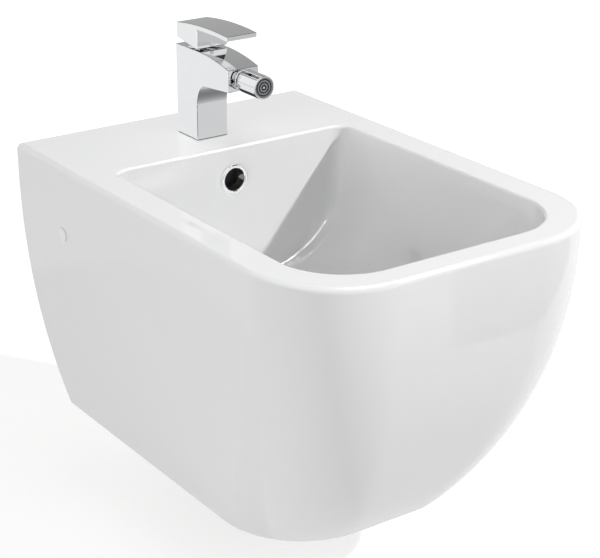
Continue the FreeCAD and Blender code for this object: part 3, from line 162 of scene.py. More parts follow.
class EffectTree(Wiring):
    """A shader node group that works on a Vector and has one output."""

    def __init__(self, name: str, numbers: dict[str, float], output: tuple[str, SocketKind],
                 colours: tuple[str, ...] = ()) -> None:
        """Makes the group and its sockets.

        Args:
            name: The group's name.
            numbers: The default of each number that goes in, by its name.
            output: Name and kind of what comes out.
            colours: Names of the colours that go in.
        """
        super().__init__(bpy.data.node_groups.new(name, "ShaderNodeTree"))
        sockets = self.tree.interface
        sockets.new_socket("Vector", in_out="INPUT", socket_type=SocketKind.VECTOR.value)
        for label, default in numbers.items():
            number = sockets.new_socket(label, in_out="INPUT", socket_type=SocketKind.NUMBER.value)
            number.default_value = default
        for label in colours:
            sockets.new_socket(label, in_out="INPUT", socket_type=SocketKind.COLOUR.value)
        label, kind = output
        sockets.new_socket(label, in_out="OUTPUT", socket_type=kind.value)
        self.inputs = self.tree.nodes.new("NodeGroupInput").outputs
        self.result = self.tree.nodes.new("NodeGroupOutput").inputs[label]

    def noise(self, detail: float) -> bpy.types.NodeSocket:
        """Cloudy noise at the group's Scale."""
        node = self.add("ShaderNodeTexNoise", Vector=self.inputs["Vector"], Scale=self.inputs["Scale"],
                        Detail=detail)
        return node.outputs["Fac"]

    def bump(self, relief: bpy.types.NodeSocket, height: float) -> bpy.types.NodeSocket:
        """Normal of a relief of that height in metres, at the group's Strength."""
        node = self.add("ShaderNodeBump", Height=relief, Strength=self.inputs["Strength"], Distance=height)
        return node.outputs["Normal"]

    def give(self, feed: bpy.types.NodeSocket) -> bpy.types.NodeTree:
        """Links the group's output and hands over the finished group."""
        self.join(feed, self.result)
        return self.tree


class Look(Wiring):
    """One material: a Principled BSDF, with the Object coordinates at hand."""

    def __init__(self, name: str) -> None:
        """Starts the material.

        Args:
            name: The material's name.
        """
        self.material = bpy.data.materials.new(name)
        self.material.use_nodes = True
        super().__init__(self.material.node_tree)
        self.tree.nodes.clear()
        self.output = self.tree.nodes.new("ShaderNodeOutputMaterial").inputs["Surface"]
        self.bsdf = self.tree.nodes.new("ShaderNodeBsdfPrincipled")
        self.join(self.bsdf.outputs["BSDF"], self.output)
        self.place = self.tree.nodes.new("ShaderNodeTexCoord").outputs["Object"]

    def along(self, axis: str) -> bpy.types.NodeSocket:
        """One of the Object coordinates, named X, Y or Z."""
        return self.add("ShaderNodeSeparateXYZ", Vector=self.place).outputs[axis]

    def effect(self, group: bpy.types.NodeTree, **feeds: Feed) -> bpy.types.NodeSocket:
        """Places a shared effect, on the Object coordinates where no other Vector is given.

        Args:
            group: The effect's node group.
            feeds: The feed of each input, by its name with underscores for blanks.

        Returns:
            The effect's output.
        """
        node = self.tree.nodes.new("ShaderNodeGroup")
        node.node_tree = group
        return self.fill(node, {"Vector": self.place, **feeds}).outputs[0]

    def surface(self, **feeds: Feed) -> bpy.types.Material:
        """Sets or links the Principled BSDF's inputs and hands over the finished material."""
        self.fill(self.bsdf, feeds)
        return self.material

    def clear_from_behind(self) -> None:
        """Makes the material's back fully transparent."""
        sides = self.add("ShaderNodeMixShader", Fac=self.add("ShaderNodeNewGeometry").outputs["Backfacing"])
        self.join(self.bsdf.outputs["BSDF"], sides.inputs[1])
        self.join(self.add("ShaderNodeBsdfTransparent").outputs["BSDF"], sides.inputs[2])
        self.join(sides.outputs["Shader"], self.output)


# Effects that several finishes share


def mottle_effect(spread: Span = (0.3, 0.7)) -> bpy.types.NodeTree:
    """Soft cloudy value between Low and High.

    Args:
        spread: The range that most of the noise falls in.

    Returns:
        Group with Vector, Scale, Low and High in, and Value out.
    """
    effect = EffectTree("soft_mottle", {"Scale": 20.0, "Low": 0.1, "High": 0.2}, ("Value", SocketKind.NUMBER))
    target = (effect.inputs["Low"], effect.inputs["High"])
    return effect.give(effect.ramp(effect.noise(detail=3.0), spread, target))


def drift_effect() -> bpy.types.NodeTree:
    """Slow drift between two tones of one colour.

    Returns:
        Group with Vector, Scale, Tone and Other Tone in, and Color out.
    """
    effect = EffectTree("tone_drift", {"Scale": 4.0}, ("Color", SocketKind.COLOUR), ("Tone", "Other Tone"))
    tone, other_tone = effect.inputs["Tone"], effect.inputs["Other Tone"]
    return effect.give(effect.mix(effect.noise(detail=2.0), tone, other_tone))


def grain_effect(height: float = 0.0004) -> bpy.types.NodeTree:
    """Fine irregular relief, as on a moulded, cast or glazed skin.

    Args:
        height: The relief's full height in metres.

    Returns:
        Group with Vector, Scale and Strength in, and Normal out.
    """
    effect = EffectTree("fine_grain", {"Scale": 300.0, "Strength": 0.1}, ("Normal", SocketKind.VECTOR))
    return effect.give(effect.bump(effect.noise(detail=4.0), height))


def turned_effect(height: float = 0.0002) -> bpy.types.NodeTree:
    """Close rings of a lathe tool around the Z axis of the given vector.

    Args:
        height: The rings' full height in metres.

    Returns:
        Group with Vector, Pitch Scale and Strength in, and Normal out.
    """
    effect = EffectTree("turned_rings", {"Pitch Scale": 900.0, "Strength": 0.1},
                        ("Normal", SocketKind.VECTOR))
    wave = effect.add("ShaderNodeTexWave", Vector=effect.inputs["Vector"], Scale=effect.inputs["Pitch Scale"],
                      Distortion=0.4, Detail=2.0)
    wave.wave_type = "BANDS"
    wave.bands_direction = "Z"
    return effect.give(effect.bump(wave.outputs["Fac"], height))


def ring_effect() -> bpy.types.NodeTree:
    """Value that swings between 0 and 1 with the distance from the Y axis of the given vector.

    Returns:
        Group with Vector, Ring Scale and Phase in, and Value out.
    """
    effect = EffectTree("concentric_rings", {"Ring Scale": 100.0, "Phase": 0.0}, ("Value", SocketKind.NUMBER))
    wave = effect.add("ShaderNodeTexWave", Vector=effect.inputs["Vector"], Scale=effect.inputs["Ring Scale"],
                      Distortion=0.0, Phase_Offset=effect.inputs["Phase"])
    wave.wave_type = "RINGS"
    wave.rings_direction = "Y"
    return effect.give(wave.outputs["Fac"])


@dataclass(frozen=True)
class Effects:
    """The shared shader groups, built once."""

    mottle: bpy.types.NodeTree
    drift: bpy.types.NodeTree
    grain: bpy.types.NodeTree
    turned: bpy.types.NodeTree
    rings: bpy.types.NodeTree

    @classmethod
    def build(cls) -> "Effects":
        """Builds every group once."""
        return cls(mottle_effect(), drift_effect(), grain_effect(), turned_effect(), ring_effect())


# Finishes


@dataclass(frozen=True)
class GlazedChina:
    """Gloss white glaze over fired china, left bare where the piece meets the wall and on its foot.

    The glaze ends over two short stretches: the wall edge in Y, and the foot edge in height over the foot.
    """

    name: str = "glazed_china"
    white: Colour = (0.768, 0.770, 0.773)
    other_white: Colour = (0.784, 0.784, 0.784)
    white_scale: float = 5.0
    gloss: Span = (0.045, 0.075)
    gloss_scale: float = 26.0
    ripple: float = 0.012
    ripple_scale: float = 34.0
    ior: float = 1.52
    coat: float = 0.35
    coat_roughness: float = 0.03
    bare: Colour = (0.72, 0.70, 0.66)
    bare_roughness: float = 0.72
    wall_edge: Span = (-0.0006, 0.0)
    foot_edge: Span = (0.0004, 0.0001)

    def build(self, effects: Effects) -> bpy.types.Material:
        """Makes the material.

        Args:
            effects: The shared shader groups.

        Returns:
            The material.
        """
        look = Look(self.name)
        glazed_from, bare_from = self.foot_edge
        at_wall = look.ramp(look.along("Y"), self.wall_edge)
        at_foot = look.ramp(look.along("Z"), (FOOT_HEIGHT + glazed_from, FOOT_HEIGHT + bare_from))
        either = look.add("ShaderNodeMath")
        either.operation = "MAXIMUM"
        look.join(at_wall, either.inputs[0])
        look.join(at_foot, either.inputs[1])
        unglazed = either.outputs["Value"]
        glaze = look.effect(effects.drift, Scale=self.white_scale, Tone=opaque(self.white),
                            Other_Tone=opaque(self.other_white))
        gloss = look.effect(effects.mottle, Scale=self.gloss_scale, Low=self.gloss[0], High=self.gloss[1])
        return look.surface(
            Base_Color=look.mix(unglazed, glaze, opaque(self.bare)),
            Roughness=look.ramp(unglazed, target=(gloss, self.bare_roughness)),
            Normal=look.effect(effects.grain, Scale=self.ripple_scale, Strength=self.ripple),
            IOR=self.ior, Coat_Weight=self.coat, Coat_Roughness=self.coat_roughness)


@dataclass(frozen=True)
class DriftingFinish:
    """A finish with a slight drift in tone and gloss."""

    name: str
    tone: Colour
    other_tone: Colour
    gloss: Span
    tone_scale: float = 40.0
    gloss_scale: float = 40.0

    def build(self, effects: Effects) -> bpy.types.Material:
        """Makes the material.

        Args:
            effects: The shared shader groups.

        Returns:
            The material.
        """
        look = Look(self.name)
        return look.surface(
            Base_Color=look.effect(effects.drift, Scale=self.tone_scale, Tone=opaque(self.tone),
                                   Other_Tone=opaque(self.other_tone)),
            Roughness=look.effect(effects.mottle, Scale=self.gloss_scale, Low=self.gloss[0],
                                  High=self.gloss[1]),
            **self.body(look, effects))

    def body(self, look: Look, effects: Effects) -> dict[str, Feed]:
        """The other inputs of the surface, which set one kind of finish apart from the next."""
        return {}


@dataclass(frozen=True)
class PlatedMetal(DriftingFinish):
    """Bright metal."""

    grain_scale: float = 600.0
    grain: float = 0.01

    def body(self, look: Look, effects: Effects) -> dict[str, Feed]:
        """Metal with a faint grain."""
        return {"Normal": look.effect(effects.grain, Scale=self.grain_scale, Strength=self.grain),
                "Metallic": 1.0}


@dataclass(frozen=True)
class TurnedMetal(DriftingFinish):
    """Machined metal with the close rings of a lathe tool."""

    tone_scale: float = 55.0
    gloss_scale: float = 80.0
    pitch_scale: float = 700.0
    marks: float = 0.12

    def body(self, look: Look, effects: Effects) -> dict[str, Feed]:
        """Metal with tool marks."""
        return {"Normal": look.effect(effects.turned, Pitch_Scale=self.pitch_scale, Strength=self.marks),
                "Metallic": 1.0}


@dataclass(frozen=True)
class MouldedSkin(DriftingFinish):
    """Plastic, rubber or sintered ceramic with a fine moulded grain."""

    tone_scale: float = 18.0
    gloss_scale: float = 60.0
    grain_scale: float = 500.0
    grain: float = 0.08
    ior: float = 1.48

    def body(self, look: Look, effects: Effects) -> dict[str, Feed]:
        """A grained surface that isn't metal."""
        return {"Normal": look.effect(effects.grain, Scale=self.grain_scale, Strength=self.grain),
                "IOR": self.ior}


@dataclass(frozen=True)
class RingedSkin:
    """Plastic face of a round node along Y, with near-black painted shade in the hollows between paler rings.
    """

    # Phase that the wave texture runs through over one metre at scale 1
    WAVE_PHASE: ClassVar[float] = 20.0

    name: str
    node: str
    land: Colour
    groove_shade: Colour
    rings: float
    ring_phase: float = TAU / 4.0
    gloss: Span = (0.3, 0.4)
    gloss_scale: float = 60.0
    grain_scale: float = 500.0
    grain: float = 0.05

    def build(self, effects: Effects) -> bpy.types.Material:
        """Makes the material.

        Args:
            effects: The shared shader groups.

        Returns:
            The material.
        """
        look = Look(self.name)
        low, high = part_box(self.node)
        pitch = (high.x - low.x) / 2.0 / self.rings
        centred = look.add("ShaderNodeMapping", Vector=look.place, Location=-(low + high) / 2)
        rings = look.effect(effects.rings, Vector=centred.outputs["Vector"],
                            Ring_Scale=TAU / (self.WAVE_PHASE * pitch), Phase=self.ring_phase)
        return look.surface(
            # The near-black between the rings is painted shade in the hollows
            Base_Color=look.mix(rings, opaque(self.groove_shade), opaque(self.land)),
            Roughness=look.effect(effects.mottle, Scale=self.gloss_scale, Low=self.gloss[0],
                                  High=self.gloss[1]),
            Normal=look.effect(effects.grain, Scale=self.grain_scale, Strength=self.grain))


class Finish(Enum):
    """Every finish on the bidet."""

    CHINA = GlazedChina()
    CHROME = PlatedMetal("polished_chrome", (0.83, 0.835, 0.845), (0.80, 0.81, 0.82), (0.025, 0.05))
    BRASS = TurnedMetal("machined_brass", (0.74, 0.57, 0.27), (0.66, 0.50, 0.23), (0.22, 0.34))
    # The duct's inside is unglazed, and its near-black tone is painted shade inside the overflow
    DUCT_PAINTED_SHADE = MouldedSkin("unglazed_duct_painted_shade", (0.12, 0.115, 0.11), (0.09, 0.085, 0.08), (0.7, 0.85),
                       grain_scale=400.0, grain=0.2)
    NICKEL = PlatedMetal("nickel_plate", (0.66, 0.64, 0.60), (0.60, 0.58, 0.55), (0.12, 0.2), grain=0.02)
    ZINC = PlatedMetal("zinc_plated_steel", (0.62, 0.63, 0.64), (0.50, 0.51, 0.53), (0.24, 0.42), grain=0.06)
    SPRING = PlatedMetal("spring_wire", (0.55, 0.55, 0.56), (0.47, 0.47, 0.48), (0.2, 0.32), grain=0.03)
    WHITE_PLASTIC = MouldedSkin("white_moulding", (0.80, 0.80, 0.795), (0.77, 0.77, 0.765), (0.26, 0.36))
    CAP_PLASTIC = MouldedSkin("white_cap", (0.84, 0.84, 0.84), (0.82, 0.82, 0.82), (0.12, 0.2), grain=0.02)
    GREY_PLASTIC = MouldedSkin("grey_moulding", (0.13, 0.135, 0.14), (0.11, 0.115, 0.12), (0.34, 0.46))
    # The aerator's hollows are painted near-black as shade
    AERATOR = RingedSkin("aerator_rings_painted_shade", "aerator_insert", land=(0.22, 0.225, 0.23),
                         groove_shade=(0.02, 0.02, 0.022), rings=3.5)
    CARTRIDGE = MouldedSkin("cartridge_moulding", (0.72, 0.72, 0.69), (0.68, 0.68, 0.65), (0.36, 0.48))
    DISC = MouldedSkin("lapped_disc", (0.83, 0.82, 0.78), (0.80, 0.79, 0.75), (0.3, 0.4),
                       grain_scale=900.0, grain=0.03, ior=1.7)
    RUBBER = MouldedSkin("seal_rubber", (0.030, 0.030, 0.031), (0.024, 0.024, 0.025), (0.55, 0.7),
                         grain_scale=700.0, grain=0.14, ior=1.5)
    SCREW_CAP = MouldedSkin("grey_cap", (0.62, 0.63, 0.64), (0.58, 0.59, 0.60), (0.16, 0.24), grain=0.02)


class FinishShelf:
    """Holds each finish's material, made when it is first asked for."""

    def __init__(self) -> None:
        """Builds the shared shader groups."""
        self.effects = Effects.build()
        self.made: dict[Finish, bpy.types.Material] = {}

    def material(self, finish: Finish) -> bpy.types.Material:
        """Finds or makes a finish's material.

        Args:
            finish: The finish.

        Returns:
            The material.
        """
        if finish not in self.made:
            self.made[finish] = finish.value.build(self.effects)
        return self.made[finish]


# Meshes

SHARP_ANGLE = math.radians(35.0)
# Radius at which a turned piece that is closed in the middle stops short of its axis
AXIS_GAP = 0.0004


class Axis(Enum):
    """Direction that a turned piece runs along, as the order of its (across, across, along) coordinates."""

    UP = (0, 1, 2)
    OUTWARD = (2, 0, 1)


def make_piece(name: str, points: Grid, faces: Grid, material: bpy.types.Material) -> bpy.types.Object:
    """Puts arrays of corners and quads into a smooth-shaded mesh object at the origin.

    Args:
        name: The piece's name.
        points: Corners, one row each, in metres.
        faces: Corner numbers of each quad, one row each.
        material: The piece's finish.

    Returns:
        The new object.
    """
    mesh = bpy.data.meshes.new(name)
    mesh.from_pydata(points.tolist(), [], faces.tolist())
    mesh.polygons.foreach_set("use_smooth", np.ones(len(faces), dtype=bool))
    mesh.set_sharp_from_angle(angle=SHARP_ANGLE)
    mesh.materials.append(material)
    mesh.update()
    piece = bpy.data.objects.new(name, mesh)
    bpy.context.scene.collection.objects.link(piece)
    return piece


def grid_faces(rows: int, columns: int, closed: bool) -> Grid:
    """Quads between the points of a grid that is stored row after row.

    Args:
        rows: Number of rows.
        columns: Points in a row.
        closed: Whether the grid closes on itself both ways.

    Returns:
        Corner numbers, one row for each quad.
    """
    ends = 0 if closed else 1
    row, column = np.meshgrid(np.arange(rows - ends), np.arange(columns - ends), indexing="ij")
    next_row = (row + 1) % rows
    next_column = (column + 1) % columns
    corners = [(row, column), (next_row, column), (next_row, next_column), (row, next_column)]
    return np.stack([(i * columns + k).ravel() for i, k in corners], axis=1)


def level_quad(across: Span, along: Span, height: float) -> tuple[Grid, Grid]:
    """One level quad that faces up.

    Args:
        across: Its ends in X.
        along: Its ends in Y.
        height: Its height.

    Returns:
        Corners and quads.
    """
    (left, right), (near, far) = across, along
    plan = np.array([(left, near), (right, near), (right, far), (left, far)])
    return np.column_stack([plan, np.full(len(plan), height)]), np.arange(len(plan))[None, :]


def revolve(profile: Grid, around: int, relief: Callable[[Grid, Grid], Grid]) -> tuple[Grid, Grid]:
    """Turns a closed profile about the axis, with a relief added to its radius.

    The point at turn t and profile row (radius, height, weight) is (r cos t, r sin t, height), with
    r = radius + weight * relief(t, height).

    Args:
        profile: Rows of (radius, height, weight), counter-clockwise in the (radius, height) plane.
        around: Points round the axis.
        relief: Function of turn and height that gives the change of radius where the weight is 1.

    Returns:
        Points as (across, across, along) rows, and quads.
    """
    turn = np.linspace(0.0, TAU, around, endpoint=False)[:, None]
    radius, height, weight = (column[None, :] for column in profile.T)
    swept = radius + weight * relief(turn, height)
    along = np.broadcast_to(height, swept.shape)
    points = np.stack([swept * np.cos(turn), swept * np.sin(turn), along], axis=-1)
    return points.reshape(-1, 3), grid_faces(around, len(profile), closed=True)


def no_relief(turn: Grid, height: Grid) -> Grid:
    """The relief of a plain round piece: nothing at every turn and height."""
    return np.zeros_like(turn + height)


def placed(points: Grid, axis: Axis, origin: Sequence[float]) -> Grid:
    """Turns (across, across, along) rows onto an axis and moves them to an origin."""
    return points[:, np.argsort(axis.value)] + np.array(origin)


# Sub-assemblies

Worn = dict[Finish, tuple[str, ...]]


@dataclass
class SubAssembly:
    """Pieces that belong together, with the carried nodes that wear each finish."""

    title: ClassVar[str]
    worn: ClassVar[Worn]

    def dress(self, shelf: FinishShelf) -> None:
        """Gives each carried node its finish.

        Args:
            shelf: The materials.
        """
        for finish, nodes in self.worn.items():
            for node in nodes:
                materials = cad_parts[node].data.materials
                materials.clear()
                materials.append(shelf.material(finish))
                LOG.info("%s: %s in %s", self.title, node, finish.value.name)

    def build(self, shelf: FinishShelf) -> None:
        """Makes the sub-assembly's own pieces; one that is shown as it was carried has none."""


@dataclass
class Shell(SubAssembly):
    """China shell with its overflow ring and side caps."""

    title: ClassVar[str] = "shell"
    worn: ClassVar[Worn] = {
        Finish.CHINA: ("china_rim", "china_basin", "china_skirt", "china_back", "china_base"),
        # The duct is painted near-black as shade
        Finish.DUCT_PAINTED_SHADE: ("china_duct",),
        Finish.CHROME: ("overflow_ring",),
        Finish.CAP_PLASTIC: ("side_hole_caps",)}


@dataclass
class WallFixing(SubAssembly):
    """Concealed blocks that sit on the wall rods, and their screws."""

    title: ClassVar[str] = "wall fixing"
    worn: ClassVar[Worn] = {
        Finish.GREY_PLASTIC: ("fixing_blocks",),
        Finish.ZINC: ("clamp_screws",)}


@dataclass
class Cartridge(SubAssembly):
    """Disc cartridge inside the mixer."""

    title: ClassVar[str] = "cartridge"
    worn: ClassVar[Worn] = {
        Finish.CARTRIDGE: ("cartridge_base", "disc_carrier", "cartridge_housing", "cartridge_rotor"),
        Finish.RUBBER: ("cartridge_seals",),
        Finish.DISC: ("fixed_disc", "moving_disc"),
        Finish.ZINC: ("stem_pin",),
        Finish.NICKEL: ("cartridge_stem", "cartridge_nut"),
        Finish.CHROME: ("cartridge_cover",)}


@dataclass
class Waste(SubAssembly):
    """Waste with its click plug."""

    title: ClassVar[str] = "waste"
    worn: ClassVar[Worn] = {
        Finish.CHROME: ("waste_body", "plug_cap"),
        Finish.RUBBER: ("waste_flange_seal", "waste_lower_seal", "plug_seal"),
        Finish.ZINC: ("waste_washer",),
        Finish.BRASS: ("waste_backnut", "plug_capsule", "plug_plunger"),
        Finish.GREY_PLASTIC: ("plug_guide",),
        Finish.SPRING: ("plug_spring",)}


@dataclass
class Mixer(SubAssembly):
    """Mixer column and lever, with the fixing under the ledge."""

    title: ClassVar[str] = "mixer"
    worn: ClassVar[Worn] = {
        Finish.CHROME: ("tap_body", "lever_handle"),
        Finish.RUBBER: ("tap_base_gasket", "horseshoe_gasket"),
        Finish.ZINC: ("horseshoe_washer", "tap_nut", "lever_grub_screw"),
        Finish.BRASS: ("tap_stud",),
        Finish.SCREW_CAP: ("lever_screw_cap",)}

    stud_pitch: float = 0.00125
    stud_depth: float = 0.00065
    stud_around: int = 40
    stud_rings: int = 420

    def thread(self, turn: Grid, height: Grid) -> Grid:
        """Change of radius in the thread: a triangle wave of (height / pitch - turn) times the depth."""
        phase = (height / self.stud_pitch - turn / TAU) % 1.0
        return -self.stud_depth * np.abs(2.0 * phase - 1.0)

    def build(self, shelf: FinishShelf) -> None:
        """Makes the threaded stud: a cylinder with the thread cut into its side.

        Args:
            shelf: The materials.
        """
        low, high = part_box("tap_stud")
        radius = (high.x - low.x) / 2
        root = radius - self.stud_depth
        heights = np.linspace(low.z, high.z, self.stud_rings)[1:-1]
        side = np.column_stack([np.full_like(heights, radius), heights, np.ones_like(heights)])
        ends = np.array([(root, high.z, 0.0), (AXIS_GAP, high.z, 0.0), (AXIS_GAP, low.z, 0.0),
                         (root, low.z, 0.0)])
        points, faces = revolve(np.concatenate([side, ends]), self.stud_around, self.thread)
        middle = (low + high) / 2
        piece = make_piece("threaded_stud", placed(points, Axis.UP, (middle.x, middle.y, 0.0)), faces,
                           shelf.material(Finish.BRASS))
        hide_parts("tap_stud")
        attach(piece, "bidet")
        LOG.info("%s: %s", self.title, piece.name)


@dataclass
class Nozzle(SubAssembly):
    """Swivel nozzle with its aerator. The sweep of the pin's head stops just short of the axis."""

    title: ClassVar[str] = "nozzle"
    worn: ClassVar[Worn] = {
        Finish.CHROME: ("nozzle_collar", "nozzle_ball", "nozzle_barrel"),
        Finish.GREY_PLASTIC: ("nozzle_seat",),
        Finish.RUBBER: ("nozzle_washer", "aerator_gasket"),
        Finish.AERATOR: ("aerator_insert",)}

    pin_radius: float = 0.0010
    pin_rise: float = 0.0006
    pin_root: float = 0.0003
    pin_sweep: float = 0.98 * TAU / 4
    pin_steps: int = 9
    pin_around: int = 32

    def build(self, shelf: FinishShelf) -> None:
        """Makes the round head of the aerator's pin: a quarter ellipse turned about the nozzle's axis.

        Args:
            shelf: The materials.
        """
        low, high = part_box("aerator_insert")
        sweep = np.linspace(self.pin_sweep, 0.0, self.pin_steps)
        dome = np.column_stack([self.pin_radius * np.cos(sweep), -self.pin_rise * np.sin(sweep),
                                np.zeros_like(sweep)])
        root = np.array([(self.pin_radius, self.pin_root, 0.0), (dome[0, 0], self.pin_root, 0.0)])
        points, faces = revolve(np.concatenate([dome, root]), self.pin_around, no_relief)
        middle = (low + high) / 2
        piece = make_piece("aerator_pin", placed(points, Axis.OUTWARD, (middle.x, low.y, middle.z)), faces,
                           shelf.material(Finish.CHROME))
        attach(piece, "nozzle")
        LOG.info("%s: %s", self.title, piece.name)


@dataclass(frozen=True)
class GripRing:
    """A ribbed plastic ring that is turned by hand, with chamfered edges.

    The bore is a row of steps from the top down, each as its radius and the height of its lower end.
    """

    name: str
    node: str
    axis: Axis
    ribs: int
    rib_depth: float
    bore: tuple[Span, ...]
    edge: float = 0.0012
    rib_margin: float = 0.0030
    rib_rows: int = 6
    valley_level: float = 0.5
    valley_swing: float = 1.2

    def profile(self, radius: float, length: float) -> Grid:
        """Closed outline of the ring: up the ribbed wall, then down the steps of the bore.

        Args:
            radius: Outer radius.
            length: Length along the axis.

        Returns:
            Rows of (radius, height, weight of the ribs).
        """
        foot = [(radius - self.edge, 0.0, 0.0), (radius, self.edge, 0.0)]
        heights = np.linspace(self.rib_margin, length - self.rib_margin, self.rib_rows)
        wall = [(radius, height, 1.0) for height in heights]
        head = [(radius, length - self.edge, 0.0), (radius - self.edge, length, 0.0)]
        tops = (length, *(lower for _, lower in self.bore))
        bore = [(inner, height, 0.0)
                for top, (inner, lower) in zip(tops, self.bore) for height in (top, lower)]
        return np.array(foot + wall + head + bore)

    def comb(self, turn: Grid, height: Grid) -> Grid:
        """Change of radius between the ribs at any height: a cosine of the turn, cut off at both ends."""
        valley = self.valley_level - self.valley_swing * np.cos(self.ribs * turn)
        return -self.rib_depth * np.clip(valley, 0.0, 1.0)


@dataclass
class Trap(SubAssembly):
    """Bottle trap and outlet pipe under the basin."""

    title: ClassVar[str] = "trap"
    worn: ClassVar[Worn] = {
        Finish.WHITE_PLASTIC: ("trap_inlet_nut", "trap_dip_tube", "trap_bottle", "trap_cup",
                               "trap_outlet_nut", "outlet_pipe"),
        Finish.RUBBER: ("trap_inlet_washer", "trap_cup_seal", "trap_outlet_washer")}

    rings: tuple[GripRing, ...] = (
        GripRing("ribbed_inlet_nut", "trap_inlet_nut", Axis.UP, ribs=24, rib_depth=0.0012,
                 bore=((0.0210, 0.0030), (0.0163, 0.0))),
        GripRing("ribbed_outlet_nut", "trap_outlet_nut", Axis.OUTWARD, ribs=24, rib_depth=0.0012,
                 bore=((0.0163, 0.0110), (0.01905, 0.0))),
        GripRing("ribbed_cup", "trap_cup", Axis.UP, ribs=36, rib_depth=0.0011,
                 bore=((0.03305, 0.0180), (0.0305, 0.0027), (AXIS_GAP, 0.0))))
    ring_around: int = 288

    def build(self, shelf: FinishShelf) -> None:
        """Makes the ribbed rings, each a profile turned about its axis with a comb of ribs on its wall.

        Args:
            shelf: The materials.
        """
        for ring in self.rings:
            low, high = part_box(ring.node)
            across, _, along = ring.axis.value
            profile = ring.profile((high[across] - low[across]) / 2, high[along] - low[along])
            points, faces = revolve(profile, self.ring_around, ring.comb)
            origin = (low + high) / 2
            origin[along] = low[along]
            piece = make_piece(ring.name, placed(points, ring.axis, origin), faces,
                               shelf.material(Finish.WHITE_PLASTIC))
            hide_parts(ring.node)
            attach(piece, "bidet")
            LOG.info("%s: %s", self.title, piece.name)


# Studio


def by_ray(wiring: Wiring, other: float, mirrored: float, seen: Feed) -> bpy.types.NodeSocket:
    """A value that differs for what is seen directly, in a reflection or through glass.

    Args:
        wiring: The tree of a material or of the world.
        other: Value for all other light.
        mirrored: Value for glossy and transmission rays.
        seen: Value for camera rays.

    Returns:
        The value.
    """
    path = wiring.add("ShaderNodeLightPath").outputs
    value: Feed = other
    for kind, amount in (("Transmission", mirrored), ("Glossy", mirrored), ("Camera", seen)):
        value = wiring.ramp(path[f"Is {kind} Ray"], target=(value, amount))
    return value


def glowing_look(name: str, fade: Span, tone: Span) -> Look:
    """A black look with a glow of its own that changes along Y, for sheets that paint reflections and shade.

    Args:
        name: The material's name.
        fade: Where the first tone ends and the second begins.
        tone: The two tones.

    Returns:
        The look.
    """
    look = Look(name)
    look.surface(Base_Color=opaque(BLACK), Roughness=1.0, Specular_IOR_Level=0.0,
                 Emission_Color=look.ramp(look.along("Y"), fade, tone), Emission_Strength=1.0)
    return look


def stand_mirrored(name: str, mesh: tuple[Grid, Grid], look: Look) -> None:
    """Stands a glowing sheet that shows in reflections alone, as a painted reflection.

    Args:
        name: The sheet's name.
        mesh: Its corners and quads.
        look: Its material.
    """
    piece = make_piece(name, *mesh, look.material)
    piece.visible_camera = False
    piece.visible_diffuse = False
    piece.visible_shadow = False


def gathered(name: str, nodes: tuple[str, ...]) -> bpy.types.Collection:
    """Collects carried nodes under a name, outside the scene's own collections.

    Args:
        name: The collection's name.
        nodes: The nodes.

    Returns:
        The collection.
    """
    group = bpy.data.collections.new(name)
    for node in nodes:
        group.objects.link(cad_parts[node])
    return group


def facing(place: Point, aim: Point) -> Matrix:
    """Matrix that stands at a place with -Z towards the aim."""
    towards = Vector(aim) - Vector(place)
    return Matrix.Translation(place) @ towards.to_track_quat("-Z", "Y").to_matrix().to_4x4()


@dataclass(frozen=True)
class Lamp:
    """A soft lamp that looks at a point.

    A lamp that isn't mirrored shows in no reflection, and one that doesn't shine shows in reflections alone.
    Where blockers are named, only those nodes keep its light off what lies behind them. Where receivers are
    named, it reaches only those nodes. The power is in watts and the spread in degrees.
    """

    name: str
    place: Point
    size: Span
    power: float
    aim: Point = (0.0, -0.28, 0.0)
    spread: float = 180.0
    mirrored: bool = True
    shines: bool = True
    blockers: tuple[str, ...] = ()
    receivers: tuple[str, ...] = ()

    def build(self) -> None:
        """Hangs the lamp."""
        data = bpy.data.lights.new(self.name, "AREA")
        data.shape = "RECTANGLE"
        data.size, data.size_y = self.size
        data.energy = self.power
        data.spread = math.radians(self.spread)
        light = bpy.data.objects.new(self.name, data)
        light.matrix_world = facing(self.place, self.aim)
        light.visible_camera = False
        light.visible_glossy = self.mirrored
        light.visible_diffuse = self.shines
        bpy.context.scene.collection.objects.link(light)
        if self.blockers:
            light.light_linking.blocker_collection = gathered(self.name + "_blockers", self.blockers)
        if self.receivers:
            light.light_linking.receiver_collection = gathered(self.name + "_receivers", self.receivers)


@dataclass(frozen=True)
class Hood:
    """A glowing sheet round the tap that only reflections show, as part of a sphere about the centre; it
    paints grey and dark reflections into the glaze and chrome.

    The rise is in degrees from +Y over the top, and the side is the sine of the angle off the middle. The
    tone changes from the first at the far back to the second over the wall plane, and stays so further out.
    """

    name: str
    rise: Span
    side: Span
    tone: Span
    centre: Point = (0.0, -0.12, 0.15)
    distance: float = 2.2
    steps: tuple[int, int] = (24, 16)

    def mesh(self) -> tuple[Grid, Grid]:
        """The point at side s and rise e is the distance times (s, c cos e, c sin e), with c^2 = 1 - s^2.

        Returns:
            Corners and quads.
        """
        rise, side = np.meshgrid(np.radians(np.linspace(*self.rise, self.steps[0])),
                                 np.linspace(*self.side, self.steps[1]), indexing="ij")
        across = np.sqrt(1.0 - side ** 2)
        points = np.stack([side, across * np.cos(rise), across * np.sin(rise)], axis=-1) * self.distance
        return points.reshape(-1, 3) + np.array(self.centre), grid_faces(*self.steps, closed=False)

    def build(self) -> None:
        """Stands the hood."""
        stand_mirrored(self.name, self.mesh(), glowing_look(self.name, (self.distance, 0.0), self.tone))


